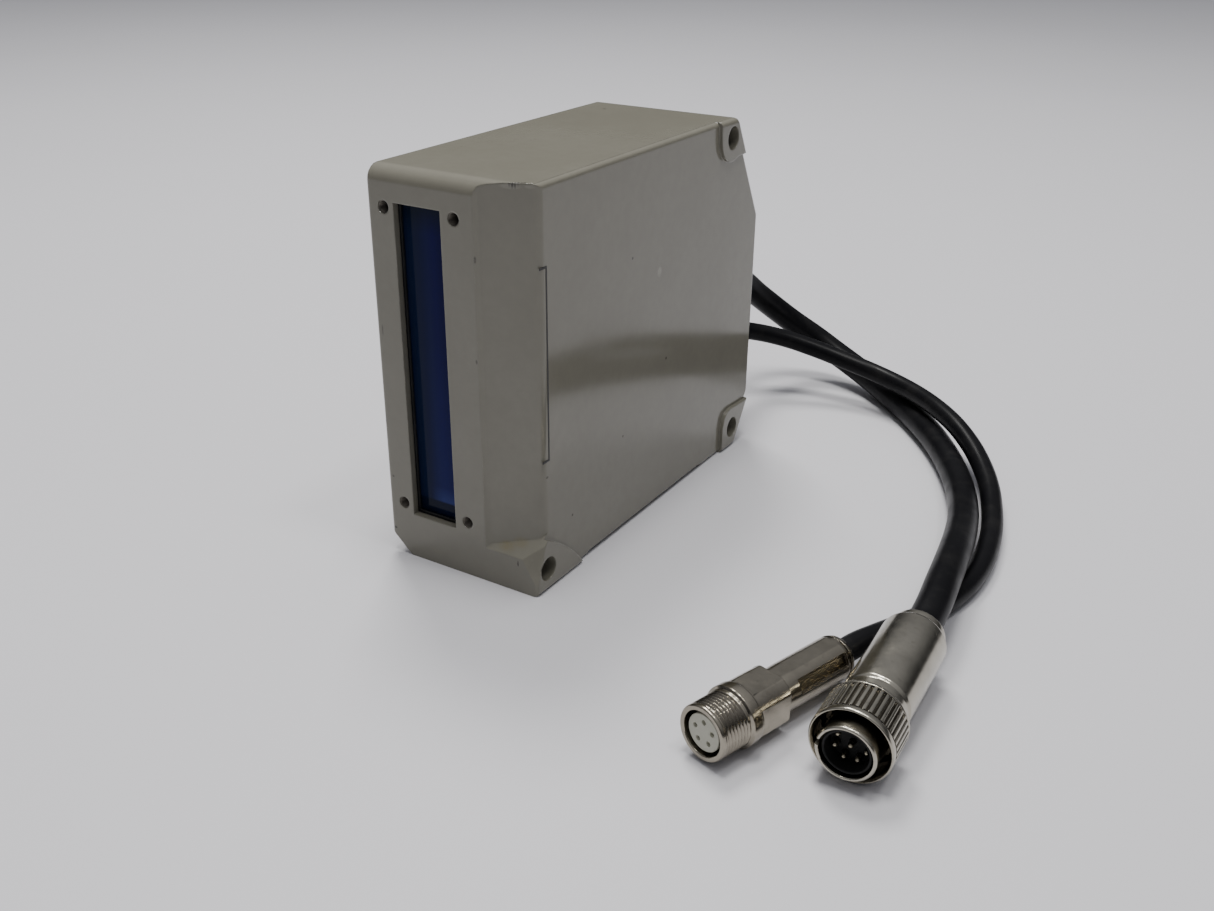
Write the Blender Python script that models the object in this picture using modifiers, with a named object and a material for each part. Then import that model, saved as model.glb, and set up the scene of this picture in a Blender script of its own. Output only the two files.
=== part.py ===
"""Scanning optical head with two plug-ended cables (metres, +Z up).

A die-cast box stands on its foot pads with a tall filter window in its front face (-Y).  Its
mounting bosses stand proud on +X, its cover closes -X, and two captive cables leave the rear
(+Y) and lie on the floor, one ending in a six-way plug and the other in a five-way jack.
"""
import math

import bmesh
import bpy
from mathutils import Matrix, Vector

MM = 0.001
GAP = 0.3 * MM                       # clearance between pieces that touch

# ---- the box --------------------------------------------------------------------------------------
BODY_W = 38.6 * MM
BODY_D = 97.2 * MM
BODY_H = 84.0 * MM
RIGHT = BODY_W / 2
LEFT = -BODY_W / 2
FRONT = -BODY_D / 2
REAR = BODY_D / 2
EDGE_ROUND = 1.1 * MM
BOSS_PROUD = 0.9 * MM                # how far the bosses stand out of the side panel
PANEL_X = RIGHT - BOSS_PROUD
REAR_FOOT_Y = 40.6 * MM              # where the floor of the box turns up to the rear face
REAR_FOOT_Z = 12.0 * MM
REAR_SHOULDER_Z = 58.7 * MM          # where the rear face starts to slope forward
REAR_TOP_Y = 34.2 * MM
TOP_FRONT_ROUND = 3.2 * MM
CORNER_CUT_X = 5.4 * MM              # long chamfer under the left side
CORNER_CUT_Z = 4.9 * MM
FOOT_RELIEF = 1.1 * MM
RELIEF_Y = (-28.2 * MM, 22.8 * MM)
STRIP_X = 6.3 * MM                   # the front-right relief steps back here, then runs to the panel
STRIP_STEP = 0.9 * MM
STRIP_DEPTH = 4.0 * MM
STRIP_ROUND = 1.9 * MM               # round between the relief and the panel
LEDGE_Z = 7.9 * MM                   # front edge of the sloping ledge under the relief

# ---- bores and tapped holes -----------------------------------------------------------------------
BORE_R = 2.65 * MM
FRONT_BORE = (-44.7 * MM, 5.1 * MM)  # (y, z) of the three cross bores
FOOT_BORE = (38.4 * MM, 5.4 * MM)
TOP_BORE = (31.3 * MM, 79.8 * MM)
BOSS_R = 5.4 * MM
TAP_R = 1.35 * MM
TAP_DEPTH = 4.4 * MM
TAP_X = (-15.1 * MM, 1.8 * MM)
TAP_Z = (12.5 * MM, 76.2 * MM)

# ---- window ---------------------------------------------------------------------------------------
OPTIC_X = -7.0 * MM
OPTIC_Z = 43.8 * MM
SLOT_W = 11.3 * MM
SLOT_H = 67.0 * MM
LIP = 1.5 * MM                       # front wall left in front of the filter
SEAT_END_Y = -38.0 * MM              # the filter's seat runs back into the cavity
SEAT_W = 13.2 * MM
SEAT_H = 69.8 * MM
GLASS_T = 1.5 * MM
GASKET_T = 0.4 * MM
RETAINER_T = 1.2 * MM

# ---- cavity, cover and screws ---------------------------------------------------------------------
CAVITY_RIGHT = 16.0 * MM
COVER_SEAT_X = -16.7 * MM
COVER_T = 1.5 * MM
COVER_RIM = 1.6 * MM
CAVITY_FLOOR = 7.4                   # outlines and hole places are (y, z) in millimetres
CAVITY_OUTLINE = [(-43.4, 13.0), (-38.3, CAVITY_FLOOR), (30.5, CAVITY_FLOOR), (45.6, 16.5),
                  (45.6, 58.0), (39.6, 68.6), (23.0, 78.2), (22.4, 81.0), (-43.4, 81.0)]
SCREW_POSTS = [(-27.0, 78.1), (-27.0, 10.2), (10.0, 10.2), (18.5, 78.1)]
POST_R = 3.4 * MM
POST_END_X = -8.0 * MM

# ---- optics ---------------------------------------------------------------------------------------
LENS_FACE_Y = -39.8 * MM
LENS_T = 10.6 * MM
LENS_CURVE_R = 36.0 * MM
LENS_W = 11.0 * MM
LENS_H = 43.0 * MM
HOLDER_SCREW_X = 5.0 * MM
HOLDER_SCREW_Z = (38.0 * MM, 50.0 * MM)
HOLDER_EAR_Y = -40.9 * MM            # rear face of the holder's ear
SENSOR_Y = 25.9 * MM                 # front face of the sensor board
BRACKET_SCREW_X = (-11.0 * MM, -3.0 * MM)
BRACKET_SCREW_Y = 18.5 * MM
BOARD_T = 1.6 * MM

# ---- main board -----------------------------------------------------------------------------------
BOARD_X = 9.0 * MM
BOARD_Y = (-22.0 * MM, 30.0 * MM)
BOARD_Z = (12.0 * MM, 73.0 * MM)
BOARD_POSTS = [(-18.5, 16.0), (26.5, 16.0), (-18.5, 69.5), (26.5, 69.5)]

# ---- cables: routes are (x, y, z) in millimetres, from the rear glands to the connectors ----------
SIGNAL_R = 3.4 * MM
SYNC_R = 2.4 * MM
GLAND_X = 2.7 * MM
SIGNAL_GLAND_Z = 38.0 * MM
SYNC_GLAND_Z = 21.0 * MM
SIGNAL_HOLE_R = 4.3 * MM
SYNC_HOLE_R = 3.4 * MM
SIGNAL_ROUTE = [
    (2.7, 56.7, 38.0), (2.7, 60.2, 37.9), (2.6, 67.2, 36.3), (3.0, 74.4, 32.1), (4.9, 81.0, 26.7),
    (8.2, 86.8, 21.4), (12.2, 91.1, 16.8), (18.0, 94.2, 12.4), (24.9, 94.5, 8.7), (32.6, 92.5, 6.0),
    (40.0, 88.6, 4.3), (46.6, 83.3, 3.6), (52.6, 77.5, 3.55), (58.3, 71.2, 3.55),
    (63.7, 64.6, 3.55), (68.6, 57.7, 3.55), (73.0, 50.5, 3.6), (76.9, 43.0, 3.8), (80.3, 35.2, 4.3),
    (83.1, 27.3, 5.0), (85.4, 19.2, 5.9), (87.2, 10.9, 6.9), (88.7, 2.7, 7.9), (90.0, -5.6, 8.7),
    (91.1, -13.6, 9.1), (92.0, -20.6, 8.9), (92.46, -27.0, 8.45), (92.57, -30.88, 8.26)]
SYNC_ROUTE = [
    (2.7, 55.7, 21.0), (2.7, 58.7, 21.0), (4.3, 66.4, 20.4), (9.0, 73.2, 18.6), (15.8, 78.2, 16.4),
    (23.8, 80.8, 14.2), (32.2, 81.8, 12.2), (40.7, 81.4, 10.7), (48.9, 78.6, 10.0),
    (56.2, 74.0, 9.9), (63.0, 68.4, 9.8), (69.6, 62.6, 9.0), (75.6, 56.6, 7.3), (80.6, 49.9, 5.6),
    (84.7, 42.4, 4.3), (87.8, 34.4, 3.3), (90.3, 26.1, 2.7), (92.0, 17.6, 2.55), (93.0, 9.0, 2.5),
    (92.9, 0.3, 2.5), (91.5, -8.3, 2.55), (89.4, -16.7, 2.8), (87.0, -24.6, 3.7),
    (84.9, -31.2, 4.7), (82.98, -36.59, 5.25), (81.56, -41.38, 5.3)]
CORD_SIDES = 3                       # bevel resolution of a cord
SIGNAL_RINGS = 13.2 * MM             # spacing of the rings along each cord, and along the looms
SYNC_RINGS = 10.1 * MM
LOOM_RINGS = 2.5 * MM
FINE_STEPS = 20                      # fine points between two of a route's points
END_STEP = 10                        # fine points from a cord's end to its next ring

# ---- connectors: stations run along each connector from its mating rim towards its cable ----------
PLUG_RIM = (93.83 * MM, -67.85 * MM, 7.36 * MM)
PLUG_TURN = math.radians(91.95)      # heading of the plug, mating rim to cable, in plan
PLUG_LIFT = math.radians(1.4)
NUT_R = 7.3 * MM
NUT_LENGTH = 8.6 * MM
NUT_TEETH = 40
PIN_CIRCLE_R = 2.8 * MM
JACK_RIM = (71.25 * MM, -76.18 * MM, 5.93 * MM)
JACK_TURN = math.radians(73.5)
JACK_LIFT = math.radians(-1.0)
JACK_R = 5.2 * MM
JACK_LENGTH = 36.0 * MM
SOCKET_CIRCLE_R = 2.02 * MM
POCKET_TILT = math.radians(-28)      # the sleeve's two pockets lie this far above and below level

PAINT = (0.31, 0.3, 0.265)
MATERIALS = {                        # name: colour, roughness, metallic
    "paint": (PAINT, 0.42, 0.0),
    "filter": ((0.01, 0.03, 0.35), 0.08, 0.0),
    "rubber": ((0.015, 0.015, 0.016), 0.6, 0.0),
    "black_plastic": ((0.02, 0.02, 0.022), 0.45, 0.0),
    "white_plastic": ((0.78, 0.78, 0.74), 0.4, 0.0),
    "nickel": ((0.62, 0.6, 0.56), 0.22, 1.0),
    "gold": ((0.85, 0.62, 0.25), 0.3, 1.0),
    "steel": ((0.55, 0.55, 0.56), 0.3, 1.0),
    "clear_glass": ((0.8, 0.9, 0.92), 0.03, 0.0),
    "anodised": ((0.03, 0.03, 0.035), 0.5, 0.6),
    "circuit_green": ((0.02, 0.16, 0.06), 0.4, 0.0),
    "blue_plastic": ((0.05, 0.12, 0.4), 0.4, 0.0),
    "cord": ((0.012, 0.012, 0.014), 0.35, 0.0),
}


# ---- scene helpers --------------------------------------------------------------------------------
def clear_scene():
    for obj in list(bpy.data.objects):
        bpy.data.objects.remove(obj, do_unlink=True)


def new_collection(name):
    collection = bpy.data.collections.new(name)
    bpy.context.scene.collection.children.link(collection)
    return collection


def make_materials():
    made = {}
    for name, (colour, roughness, metallic) in MATERIALS.items():
        material = bpy.data.materials.new(name)
        material.use_nodes = True
        shader = material.node_tree.nodes["Principled BSDF"]
        shader.inputs["Base Color"].default_value = (*colour, 1.0)
        shader.inputs["Roughness"].default_value = roughness
        shader.inputs["Metallic"].default_value = metallic
        made[name] = material
    return made


clear_scene()
PARTS = new_collection("scanner_head")
CUTTERS = new_collection("cutters")
LOOKS = make_materials()


def add_part(name, mesh, look, parent=None):
    obj = bpy.data.objects.new(name, mesh)
    PARTS.objects.link(obj)
    obj.data.materials.append(LOOKS[look])
    obj.parent = parent
    return obj


def add_cutter(name, mesh, parent=None):
    obj = bpy.data.objects.new(name, mesh)
    CUTTERS.objects.link(obj)
    obj.hide_render = True
    obj.display_type = "WIRE"
    obj.parent = parent
    return obj


def combine(target, tool, operation="DIFFERENCE"):
    modifier = target.modifiers.new(tool.name, "BOOLEAN")
    modifier.operation = operation
    modifier.object = tool
    modifier.solver = "EXACT"


def cut(target, name, mesh, parent=None):
    tool = add_cutter(name, mesh, parent)
    combine(target, tool)
    return tool


def join(target, name, mesh, parent=None):
    tool = add_cutter(name, mesh, parent)
    combine(target, tool, "UNION")
    return tool


def round_edges(obj, width, segments=2, angle=40.0):
    modifier = obj.modifiers.new("round", "BEVEL")
    modifier.width = width
    modifier.segments = segments
    modifier.limit_method = "ANGLE"
    modifier.angle_limit = math.radians(angle)


def smooth(obj, angle=35.0):
    obj.data.shade_smooth()
    obj.data.set_sharp_from_angle(angle=math.radians(angle))


# ---- shape helpers --------------------------------------------------------------------------------
def finish_mesh(name, shape):
    mesh = bpy.data.meshes.new(name)
    shape.to_mesh(mesh)
    shape.free()
    return mesh


def box(name, low, high):
    """A box between two opposite corners."""
    shape = bmesh.new()
    bmesh.ops.create_cube(shape, size=1.0)
    size = Vector(high) - Vector(low)
    bmesh.ops.scale(shape, vec=size, verts=shape.verts)
    bmesh.ops.translate(shape, vec=Vector(low) + size / 2, verts=shape.verts)
    return finish_mesh(name, shape)


def rod(name, start, end, radius, end_radius=None, sides=24):
    """A cylinder or a cone between two points."""
    along = Vector(end) - Vector(start)
    turn = Vector((0, 0, 1)).rotation_difference(along).to_matrix().to_4x4()
    shape = bmesh.new()
    bmesh.ops.create_cone(shape, cap_ends=True, segments=sides, radius1=radius,
                          radius2=radius if end_radius is None else end_radius,
                          depth=along.length,
                          matrix=Matrix.Translation(Vector(start) + along / 2) @ turn)
    return finish_mesh(name, shape)


def curve_mesh(name, curve):
    """The mesh of a curve, with its caps welded on."""
    guide = bpy.data.objects.new(name, curve)
    CUTTERS.objects.link(guide)
    evaluated = guide.evaluated_get(bpy.context.evaluated_depsgraph_get())
    mesh = bpy.data.meshes.new_from_object(evaluated)
    shape = bmesh.new()
    shape.from_mesh(mesh)
    bmesh.ops.remove_doubles(shape, verts=shape.verts, dist=1e-6)
    shape.to_mesh(mesh)
    shape.free()
    bpy.data.objects.remove(guide)
    mesh.name = name
    return mesh


def plate(name, outlines, low, high, axis="X", edge_round=0.0, edge_steps=1):
    """A flat outline with holes, extruded along an axis, with its rims rounded.

    Outline points are (y, z) for X, (z, x) for Y and (x, y) for Z.
    """
    curve = bpy.data.curves.new(name, "CURVE")
    curve.dimensions = "2D"
    curve.fill_mode = "BOTH"
    curve.extrude = (high - low) / 2 - edge_round
    curve.bevel_depth = edge_round
    curve.bevel_resolution = edge_steps
    curve.offset = -edge_round
    for outline in outlines:
        spline = curve.splines.new("POLY")
        spline.points.add(len(outline) - 1)
        for point, (u, v) in zip(spline.points, outline):
            point.co = (u, v, 0.0, 1.0)
        spline.use_cyclic_u = True
    mesh = curve_mesh(name, curve)
    steps = {"X": 1, "Y": 2, "Z": 0}[axis]
    cycle = Matrix(((0, 0, 1, 0), (1, 0, 0, 0), (0, 1, 0, 0), (0, 0, 0, 1)))
    turn = Matrix.Identity(4)
    for _ in range(steps):
        turn = cycle @ turn
    mesh.transform(Matrix.Translation((0, 0, (high + low) / 2)))
    mesh.transform(turn)
    return mesh


def tube(name, points, radius, sides=2):
    """A curve with filled caps for a cord or wire through its points."""
    curve = bpy.data.curves.new(name, "CURVE")
    curve.dimensions = "3D"
    curve.bevel_depth = radius
    curve.bevel_resolution = sides
    curve.use_fill_caps = True
    spline = curve.splines.new("POLY")
    spline.points.add(len(points) - 1)
    for point, place in zip(spline.points, points):
        point.co = (*place, 1.0)
    return curve


def turned(name, profile, steps=32, closed=False):
    """A profile of (radius, station) points, which a Screw modifier turns about local Z.

    The points run down the outer side, from the highest station to the lowest.
    """
    mesh = bpy.data.meshes.new(name)
    verts = [(radius, 0.0, station) for radius, station in profile]
    edges = [(i, i + 1) for i in range(len(verts) - 1)]
    if closed:
        edges.append((len(verts) - 1, 0))
    mesh.from_pydata(verts, edges, [])
    return mesh


def spin(obj, steps=32):
    modifier = obj.modifiers.new("turn", "SCREW")
    modifier.axis = "Z"
    modifier.steps = steps
    modifier.render_steps = steps
    modifier.use_merge_vertices = True
    modifier.merge_threshold = 1e-6
    modifier.use_smooth_shade = True


def add_turned(name, profile, look, parent=None, steps=32, closed=False):
    obj = add_part(name, turned(name, profile, steps, closed), look, parent)
    spin(obj, steps)
    return obj


def point_along(obj, place, direction):
    """Puts an object's origin at a place with its local Z along a direction."""
    obj.location = place
    obj.rotation_mode = "QUATERNION"
    obj.rotation_quaternion = Vector((0, 0, 1)).rotation_difference(Vector(direction))


def arc(centre, radius, start, end, count):
    """Points along an arc, with its angles in degrees."""
    points = []
    for i in range(count + 1):
        angle = math.radians(start + (end - start) * i / count)
        points.append((centre[0] + radius * math.cos(angle), centre[1] + radius * math.sin(angle)))
    return points


def fillet(corner, before, after, radius, count=5):
    """Points that round one corner of an outline, between the corners on its two sides."""
    here = Vector(corner)
    back = (Vector(before) - here).normalized()
    ahead = (Vector(after) - here).normalized()
    half = back.angle(ahead) / 2
    reach = radius / math.tan(half)
    centre = here + (back + ahead).normalized() * radius / math.sin(half)
    first = here + back * reach - centre
    last = here + ahead * reach - centre
    sweep = first.angle_signed(last)
    points = []
    for i in range(count + 1):
        turned_by = Matrix.Rotation(-sweep * i / count, 2)
        points.append(tuple(centre + turned_by @ first))
    return points


def rounded_outline(corners):
    """An outline from (y, z, radius) corners."""
    outline = []
    for i, (y, z, radius) in enumerate(corners):
        before = corners[i - 1][:2]
        after = corners[(i + 1) % len(corners)][:2]
        outline += fillet((y, z), before, after, radius) if radius else [(y, z)]
    return outline


def grown(outline, distance):
    """An anticlockwise outline with every side moved outward by a distance."""
    points = []
    for i, corner in enumerate(outline):
        here = Vector(corner)
        into = (here - Vector(outline[i - 1])).normalized()
        out = (Vector(outline[(i + 1) % len(outline)]) - here).normalized()
        normal_in = Vector((into.y, -into.x))
        normal_out = Vector((out.y, -out.x))
        push = (normal_in + normal_out).normalized()
        points.append(tuple(here + push * distance / push.dot(normal_in)))
    return points


def millimetres(points):
    return [tuple(value * MM for value in point) for point in points]


def rectangle(centre, width, height):
    """A rectangle's corners, anticlockwise, as (u, v)."""
    u, v = centre
    return [(u - width / 2, v - height / 2), (u + width / 2, v - height / 2),
            (u + width / 2, v + height / 2), (u - width / 2, v + height / 2)]


def half_space(name, through, normal, size=30 * MM):
    """A cube that fills one side of a plane, for a slanted cut."""
    shape = bmesh.new()
    bmesh.ops.create_cube(shape, size=size)
    turn = Vector((0, 0, 1)).rotation_difference(Vector(normal)).to_matrix().to_4x4()
    place = Vector(through) + Vector(normal).normalized() * size / 2
    bmesh.ops.transform(shape, matrix=Matrix.Translation(place) @ turn, verts=shape.verts)
    return finish_mesh(name, shape)


# ---- main housing ---------------------------------------------------------------------------------
def side_outline():
    """The box seen from the side, as (y, z)."""
    corners = [(FRONT, 0.0, 0.0), (REAR_FOOT_Y, 0.0, 1.5 * MM), (REAR, REAR_FOOT_Z, 1.5 * MM),
               (REAR, REAR_SHOULDER_Z, 2.0 * MM), (REAR_TOP_Y, BODY_H, 2.5 * MM),
               (FRONT, BODY_H, TOP_FRONT_ROUND)]
    return rounded_outline(corners)


def panel_outline():
    """The side panel between the bosses, as (y, z); it runs past the box where it reaches an edge."""
    out = 2.0 * MM
    front_boss = arc((-62.9 * MM, -23.1 * MM), 39.2 * MM, 64.6, 33.5, 6)
    foot_boss = millimetres([(33.3, 6.4), (34.0, 9.1), (35.5, 10.5), (37.6, 10.9), (45.9, 10.4)])
    top_boss = arc(TOP_BORE, BOSS_R, -60.0, -180.0, 8)
    outline = [(FRONT - out, 13.2 * MM)] + front_boss
    outline += [(33.3 * MM, -out)] + foot_boss
    outline += [(REAR + out, 10.2 * MM), (REAR + out, 75.6 * MM)] + top_boss
    outline += [(25.6 * MM, BODY_H + out), (FRONT - out, BODY_H + out)]
    return outline


def cut_side_panel(housing):
    """Lowers the panel between the bosses and rounds it off where it reaches an outer edge."""
    rim = cut(housing, "side_panel", plate("side_panel", [panel_outline()], PANEL_X - EDGE_ROUND,
                                           RIGHT + 2 * MM))
    inset = grown(side_outline(), -0.05 * MM)
    core = plate("panel_core", [inset], LEFT, PANEL_X, edge_round=EDGE_ROUND, edge_steps=2)
    combine(rim, add_cutter("panel_core", core))


def cut_front_relief(housing):
    """The relief steps back from the front face, runs slanting to the panel and ends on a ledge."""
    corner_y = FRONT + STRIP_DEPTH
    panel_end = corner_y + 6 * MM
    strip_start = (STRIP_X + STRIP_STEP, FRONT + STRIP_STEP)
    ahead = FRONT - 3 * MM
    outside = RIGHT + 2 * MM
    relief_outline = [(STRIP_X - 3 * MM, ahead), (outside, ahead), (outside, panel_end)]
    relief_outline += fillet((PANEL_X, corner_y), (PANEL_X, panel_end), strip_start, STRIP_ROUND, 6)
    relief_outline.append(strip_start)
    relief = cut(housing, "front_relief",
                 plate("front_relief", [relief_outline], 3 * MM, BODY_H + 2 * MM, "Z"))
    ledge = half_space("ledge", (STRIP_X + 6 * MM, FRONT, LEDGE_Z), (0, 1, -1), 40 * MM)
    combine(relief, add_cutter("ledge", ledge))
    cut(housing, "corner_facet", half_space("corner_facet", (17.4 * MM, FRONT, 4.66 * MM),
                                            (0.45, -0.85, 0.27), 15 * MM))


def cut_underside(housing):
    chamfer = [(-MM, LEFT - MM), (CORNER_CUT_Z + 0.9 * MM, LEFT - MM),
               (-MM, LEFT + CORNER_CUT_X + 1.1 * MM)]
    cut(housing, "corner_chamfer", plate("corner_chamfer", [chamfer], -BODY_D, BODY_D, "Y"))
    cut(housing, "foot_relief", box("foot_relief", (LEFT - MM, RELIEF_Y[0], -MM),
                                    (RIGHT + MM, RELIEF_Y[1], FOOT_RELIEF)))


def cut_cavity(housing):
    outline = millimetres(CAVITY_OUTLINE)
    cavity = cut(housing, "cavity", plate("cavity", [outline], LEFT - MM, CAVITY_RIGHT))
    for i, (y, z) in enumerate(millimetres(SCREW_POSTS)):
        post = rod(f"post_{i}", (LEFT - 2 * MM, y, z), (POST_END_X, y, z), POST_R, sides=20)
        combine(cavity, add_cutter(f"post_{i}", post))
        cut(housing, f"post_hole_{i}", rod(f"post_hole_{i}", (COVER_SEAT_X - MM, y, z),
                                           (POST_END_X - MM, y, z), 1.5 * MM, sides=16))
    seat = grown(outline, COVER_RIM)
    cut(housing, "cover_seat", plate("cover_seat", [seat], LEFT - MM, COVER_SEAT_X))
    for i, (y, z) in enumerate(millimetres(BOARD_POSTS)):
        join(housing, f"board_post_{i}", rod(f"board_post_{i}", (BOARD_X + BOARD_T + GAP, y, z),
                                             (CAVITY_RIGHT + MM, y, z), 2.6 * MM, sides=16))
        cut(housing, f"board_tap_{i}", rod(f"board_tap_{i}", (BOARD_X, y, z),
                                           (14.0 * MM, y, z), 1.3 * MM, sides=12))


def cut_window(housing):
    low = (OPTIC_X - SLOT_W / 2, FRONT - MM, OPTIC_Z - SLOT_H / 2)
    high = (OPTIC_X + SLOT_W / 2, FRONT + LIP + MM, OPTIC_Z + SLOT_H / 2)
    cut(housing, "slot", box("slot", low, high))
    low = (OPTIC_X - SEAT_W / 2, FRONT + LIP, OPTIC_Z - SEAT_H / 2)
    high = (OPTIC_X + SEAT_W / 2, SEAT_END_Y, OPTIC_Z + SEAT_H / 2)
    cut(housing, "window_seat", box("window_seat", low, high))


def cut_holes(housing):
    for name, (y, z) in {"front": FRONT_BORE, "foot": FOOT_BORE, "top": TOP_BORE}.items():
        cut(housing, f"{name}_bore", rod(f"{name}_bore", (LEFT - 2 * MM, y, z),
                                         (RIGHT + 2 * MM, y, z), BORE_R, sides=32))
    for i, x in enumerate(TAP_X):
        for j, z in enumerate(TAP_Z):
            cut(housing, f"tap_{i}{j}", rod(f"tap_{i}{j}", (x, FRONT - MM, z),
                                            (x, FRONT + TAP_DEPTH, z), TAP_R, sides=16))
    for name, z, radius in (("signal", SIGNAL_GLAND_Z, SIGNAL_HOLE_R), ("sync", SYNC_GLAND_Z, SYNC_HOLE_R)):
        cut(housing, f"{name}_hole", rod(f"{name}_hole", (GLAND_X, REAR - 8 * MM, z),
                                         (GLAND_X, REAR + MM, z), radius))
    for z in HOLDER_SCREW_Z:
        cut(housing, "holder_tap", rod("holder_tap", (HOLDER_SCREW_X, -42 * MM, z),
                                       (HOLDER_SCREW_X, -46.2 * MM, z), 1.3 * MM, sides=12))
    for x in BRACKET_SCREW_X:
        cut(housing, "bracket_tap", rod("bracket_tap", (x, BRACKET_SCREW_Y, 8 * MM),
                                        (x, BRACKET_SCREW_Y, 3.2 * MM), 1.3 * MM, sides=12))


def make_housing():
    block = plate("main_housing", [side_outline()], LEFT, RIGHT, edge_round=EDGE_ROUND, edge_steps=2)
    housing = add_part("main_housing", block, "paint")
    cut_side_panel(housing)
    cut_front_relief(housing)
    cut_underside(housing)
    cut_cavity(housing)
    cut_window(housing)
    cut_holes(housing)
    smooth(housing)


# ---- cover ----------------------------------------------------------------------------------------
def make_cover():
    outline = millimetres(CAVITY_OUTLINE)
    inner_x = LEFT + COVER_T
    cover = add_part("side_cover", plate("side_cover", [grown(outline, COVER_RIM - GAP)],
                                         LEFT, inner_x), "paint")
    for i, (y, z) in enumerate(millimetres(SCREW_POSTS)):
        cut(cover, f"cover_hole_{i}", rod(f"cover_hole_{i}", (LEFT - MM, y, z),
                                          (inner_x + MM, y, z), 1.6 * MM, sides=20))
        cut(cover, f"countersink_{i}", rod(f"countersink_{i}", (LEFT - 0.5 * MM, y, z),
                                           (LEFT + 1.3 * MM, y, z), 3.5 * MM, 1.6 * MM))
        make_flat_screw(f"cover_screw_{i + 1}", (LEFT, y, z))
    ring = [grown(outline, 1.3 * MM), grown(outline, 0.2 * MM)]
    add_part("cover_gasket", plate("cover_gasket", ring, inner_x + GAP, COVER_SEAT_X - GAP), "rubber")


def make_flat_screw(name, place):
    """A countersunk screw whose head lies flush in the cover, with a crossed recess."""
    profile = [(0.0, -0.1), (2.5, -0.1), (2.6, -0.3), (1.2, -1.6), (1.2, -9.0), (0.9, -9.4), (0.0, -9.4)]
    screw = add_turned(name, millimetres(profile), "steel", steps=16)
    for side in (0, 1):
        size = (1.4 * MM, 0.32 * MM) if side else (0.32 * MM, 1.4 * MM)
        cut(screw, f"{name}_recess_{side}", box(f"{name}_recess_{side}", (-size[0], -size[1], -1.0 * MM),
                                                (size[0], size[1], 0.5 * MM)), screw)
    point_along(screw, place, (-1, 0, 0))


def make_pan_screw(name, place, direction, length):
    """A pan-head screw: its head's underside is at a place, and its shank runs against a direction."""
    profile = [(0.0, 1.6 * MM), (1.4 * MM, 1.5 * MM), (2.1 * MM, 0.9 * MM), (2.2 * MM, 0.0),
               (1.0 * MM, 0.0), (1.0 * MM, -length), (0.0, -length)]
    screw = add_turned(name, profile, "steel", steps=12)
    point_along(screw, place, direction)


# ---- window ---------------------------------------------------------------------------------------
def window_frame(name, front, thickness, outer, opening, look):
    """A flat frame round the light path; outer and opening are (height, width)."""
    centre = (OPTIC_Z, OPTIC_X)
    ring = [rectangle(centre, *outer), rectangle(centre, *opening)]
    return add_part(name, plate(name, ring, front, front + thickness, "Y"), look)


def make_window():
    full = (SEAT_H - 2 * GAP, SEAT_W - 2 * GAP)
    seat = FRONT + LIP + GAP
    window_frame("window_gasket", seat, GASKET_T, full, (SLOT_H - 0.8 * MM, SLOT_W - 0.6 * MM), "rubber")
    seat += GASKET_T + GAP
    size = rectangle((OPTIC_Z, OPTIC_X), *full)
    glass = add_part("window_glass", plate("window_glass", [size], seat, seat + GLASS_T, "Y"), "filter")
    round_edges(glass, 0.2 * MM, 1)
    seat += GLASS_T + GAP
    window_frame("window_retainer", seat, RETAINER_T, full, (SLOT_H - 2.0 * MM, SLOT_W - 1.2 * MM),
                 "anodised")


# ---- lens -----------------------------------------------------------------------------------------
def make_lens():
    profile = []
    edge = 24 * MM
    for i in range(13):
        angle = math.asin(edge / LENS_CURVE_R) * i / 12
        sag = LENS_CURVE_R * (1 - math.cos(angle))
        profile.append((LENS_CURVE_R * math.sin(angle), LENS_T - sag))
    profile += [(edge, 0.0), (0.0, 0.0)]
    lens = add_turned("receiver_lens", profile, "clear_glass", steps=48)
    point_along(lens, (OPTIC_X, LENS_FACE_Y, OPTIC_Z), (0, 1, 0))
    sides = add_cutter("lens_sides", box("lens_sides", (OPTIC_X - LENS_W / 2, -45 * MM, OPTIC_Z - LENS_H / 2),
                                         (OPTIC_X + LENS_W / 2, -25 * MM, OPTIC_Z + LENS_H / 2)))
    combine(lens, sides, "INTERSECT")


def make_lens_holder():
    front, rear = -41.5 * MM, -33.0 * MM
    holder = add_part("lens_holder", box("lens_holder", (-15.0 * MM, front, 18.0 * MM),
                                         (1.0 * MM, rear, 69.6 * MM)), "anodised")
    round_edges(holder, 0.4 * MM, 1)
    join(holder, "holder_ear", box("holder_ear", (0.0, -43.1 * MM, 33.0 * MM),
                                   (9.0 * MM, HOLDER_EAR_Y, 55.0 * MM)))
    seat = (LENS_W / 2 + GAP, LENS_H / 2 + GAP)
    stop = (seat[0] - 1.0 * MM, seat[1] - 1.2 * MM)
    for name, half, start in (("lens_seat", seat, LENS_FACE_Y - GAP), ("lens_stop", stop, front - MM)):
        cut(holder, name, box(name, (OPTIC_X - half[0], start, OPTIC_Z - half[1]),
                              (OPTIC_X + half[0], rear + MM, OPTIC_Z + half[1])))
    for i, z in enumerate(HOLDER_SCREW_Z):
        cut(holder, f"ear_hole_{i}", rod(f"ear_hole_{i}", (HOLDER_SCREW_X, -44 * MM, z),
                                         (HOLDER_SCREW_X, -40 * MM, z), 1.3 * MM, sides=12))
        make_pan_screw(f"lens_screw_{i + 1}", (HOLDER_SCREW_X, HOLDER_EAR_Y + GAP, z), (0, 1, 0),
                       5.0 * MM)


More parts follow.
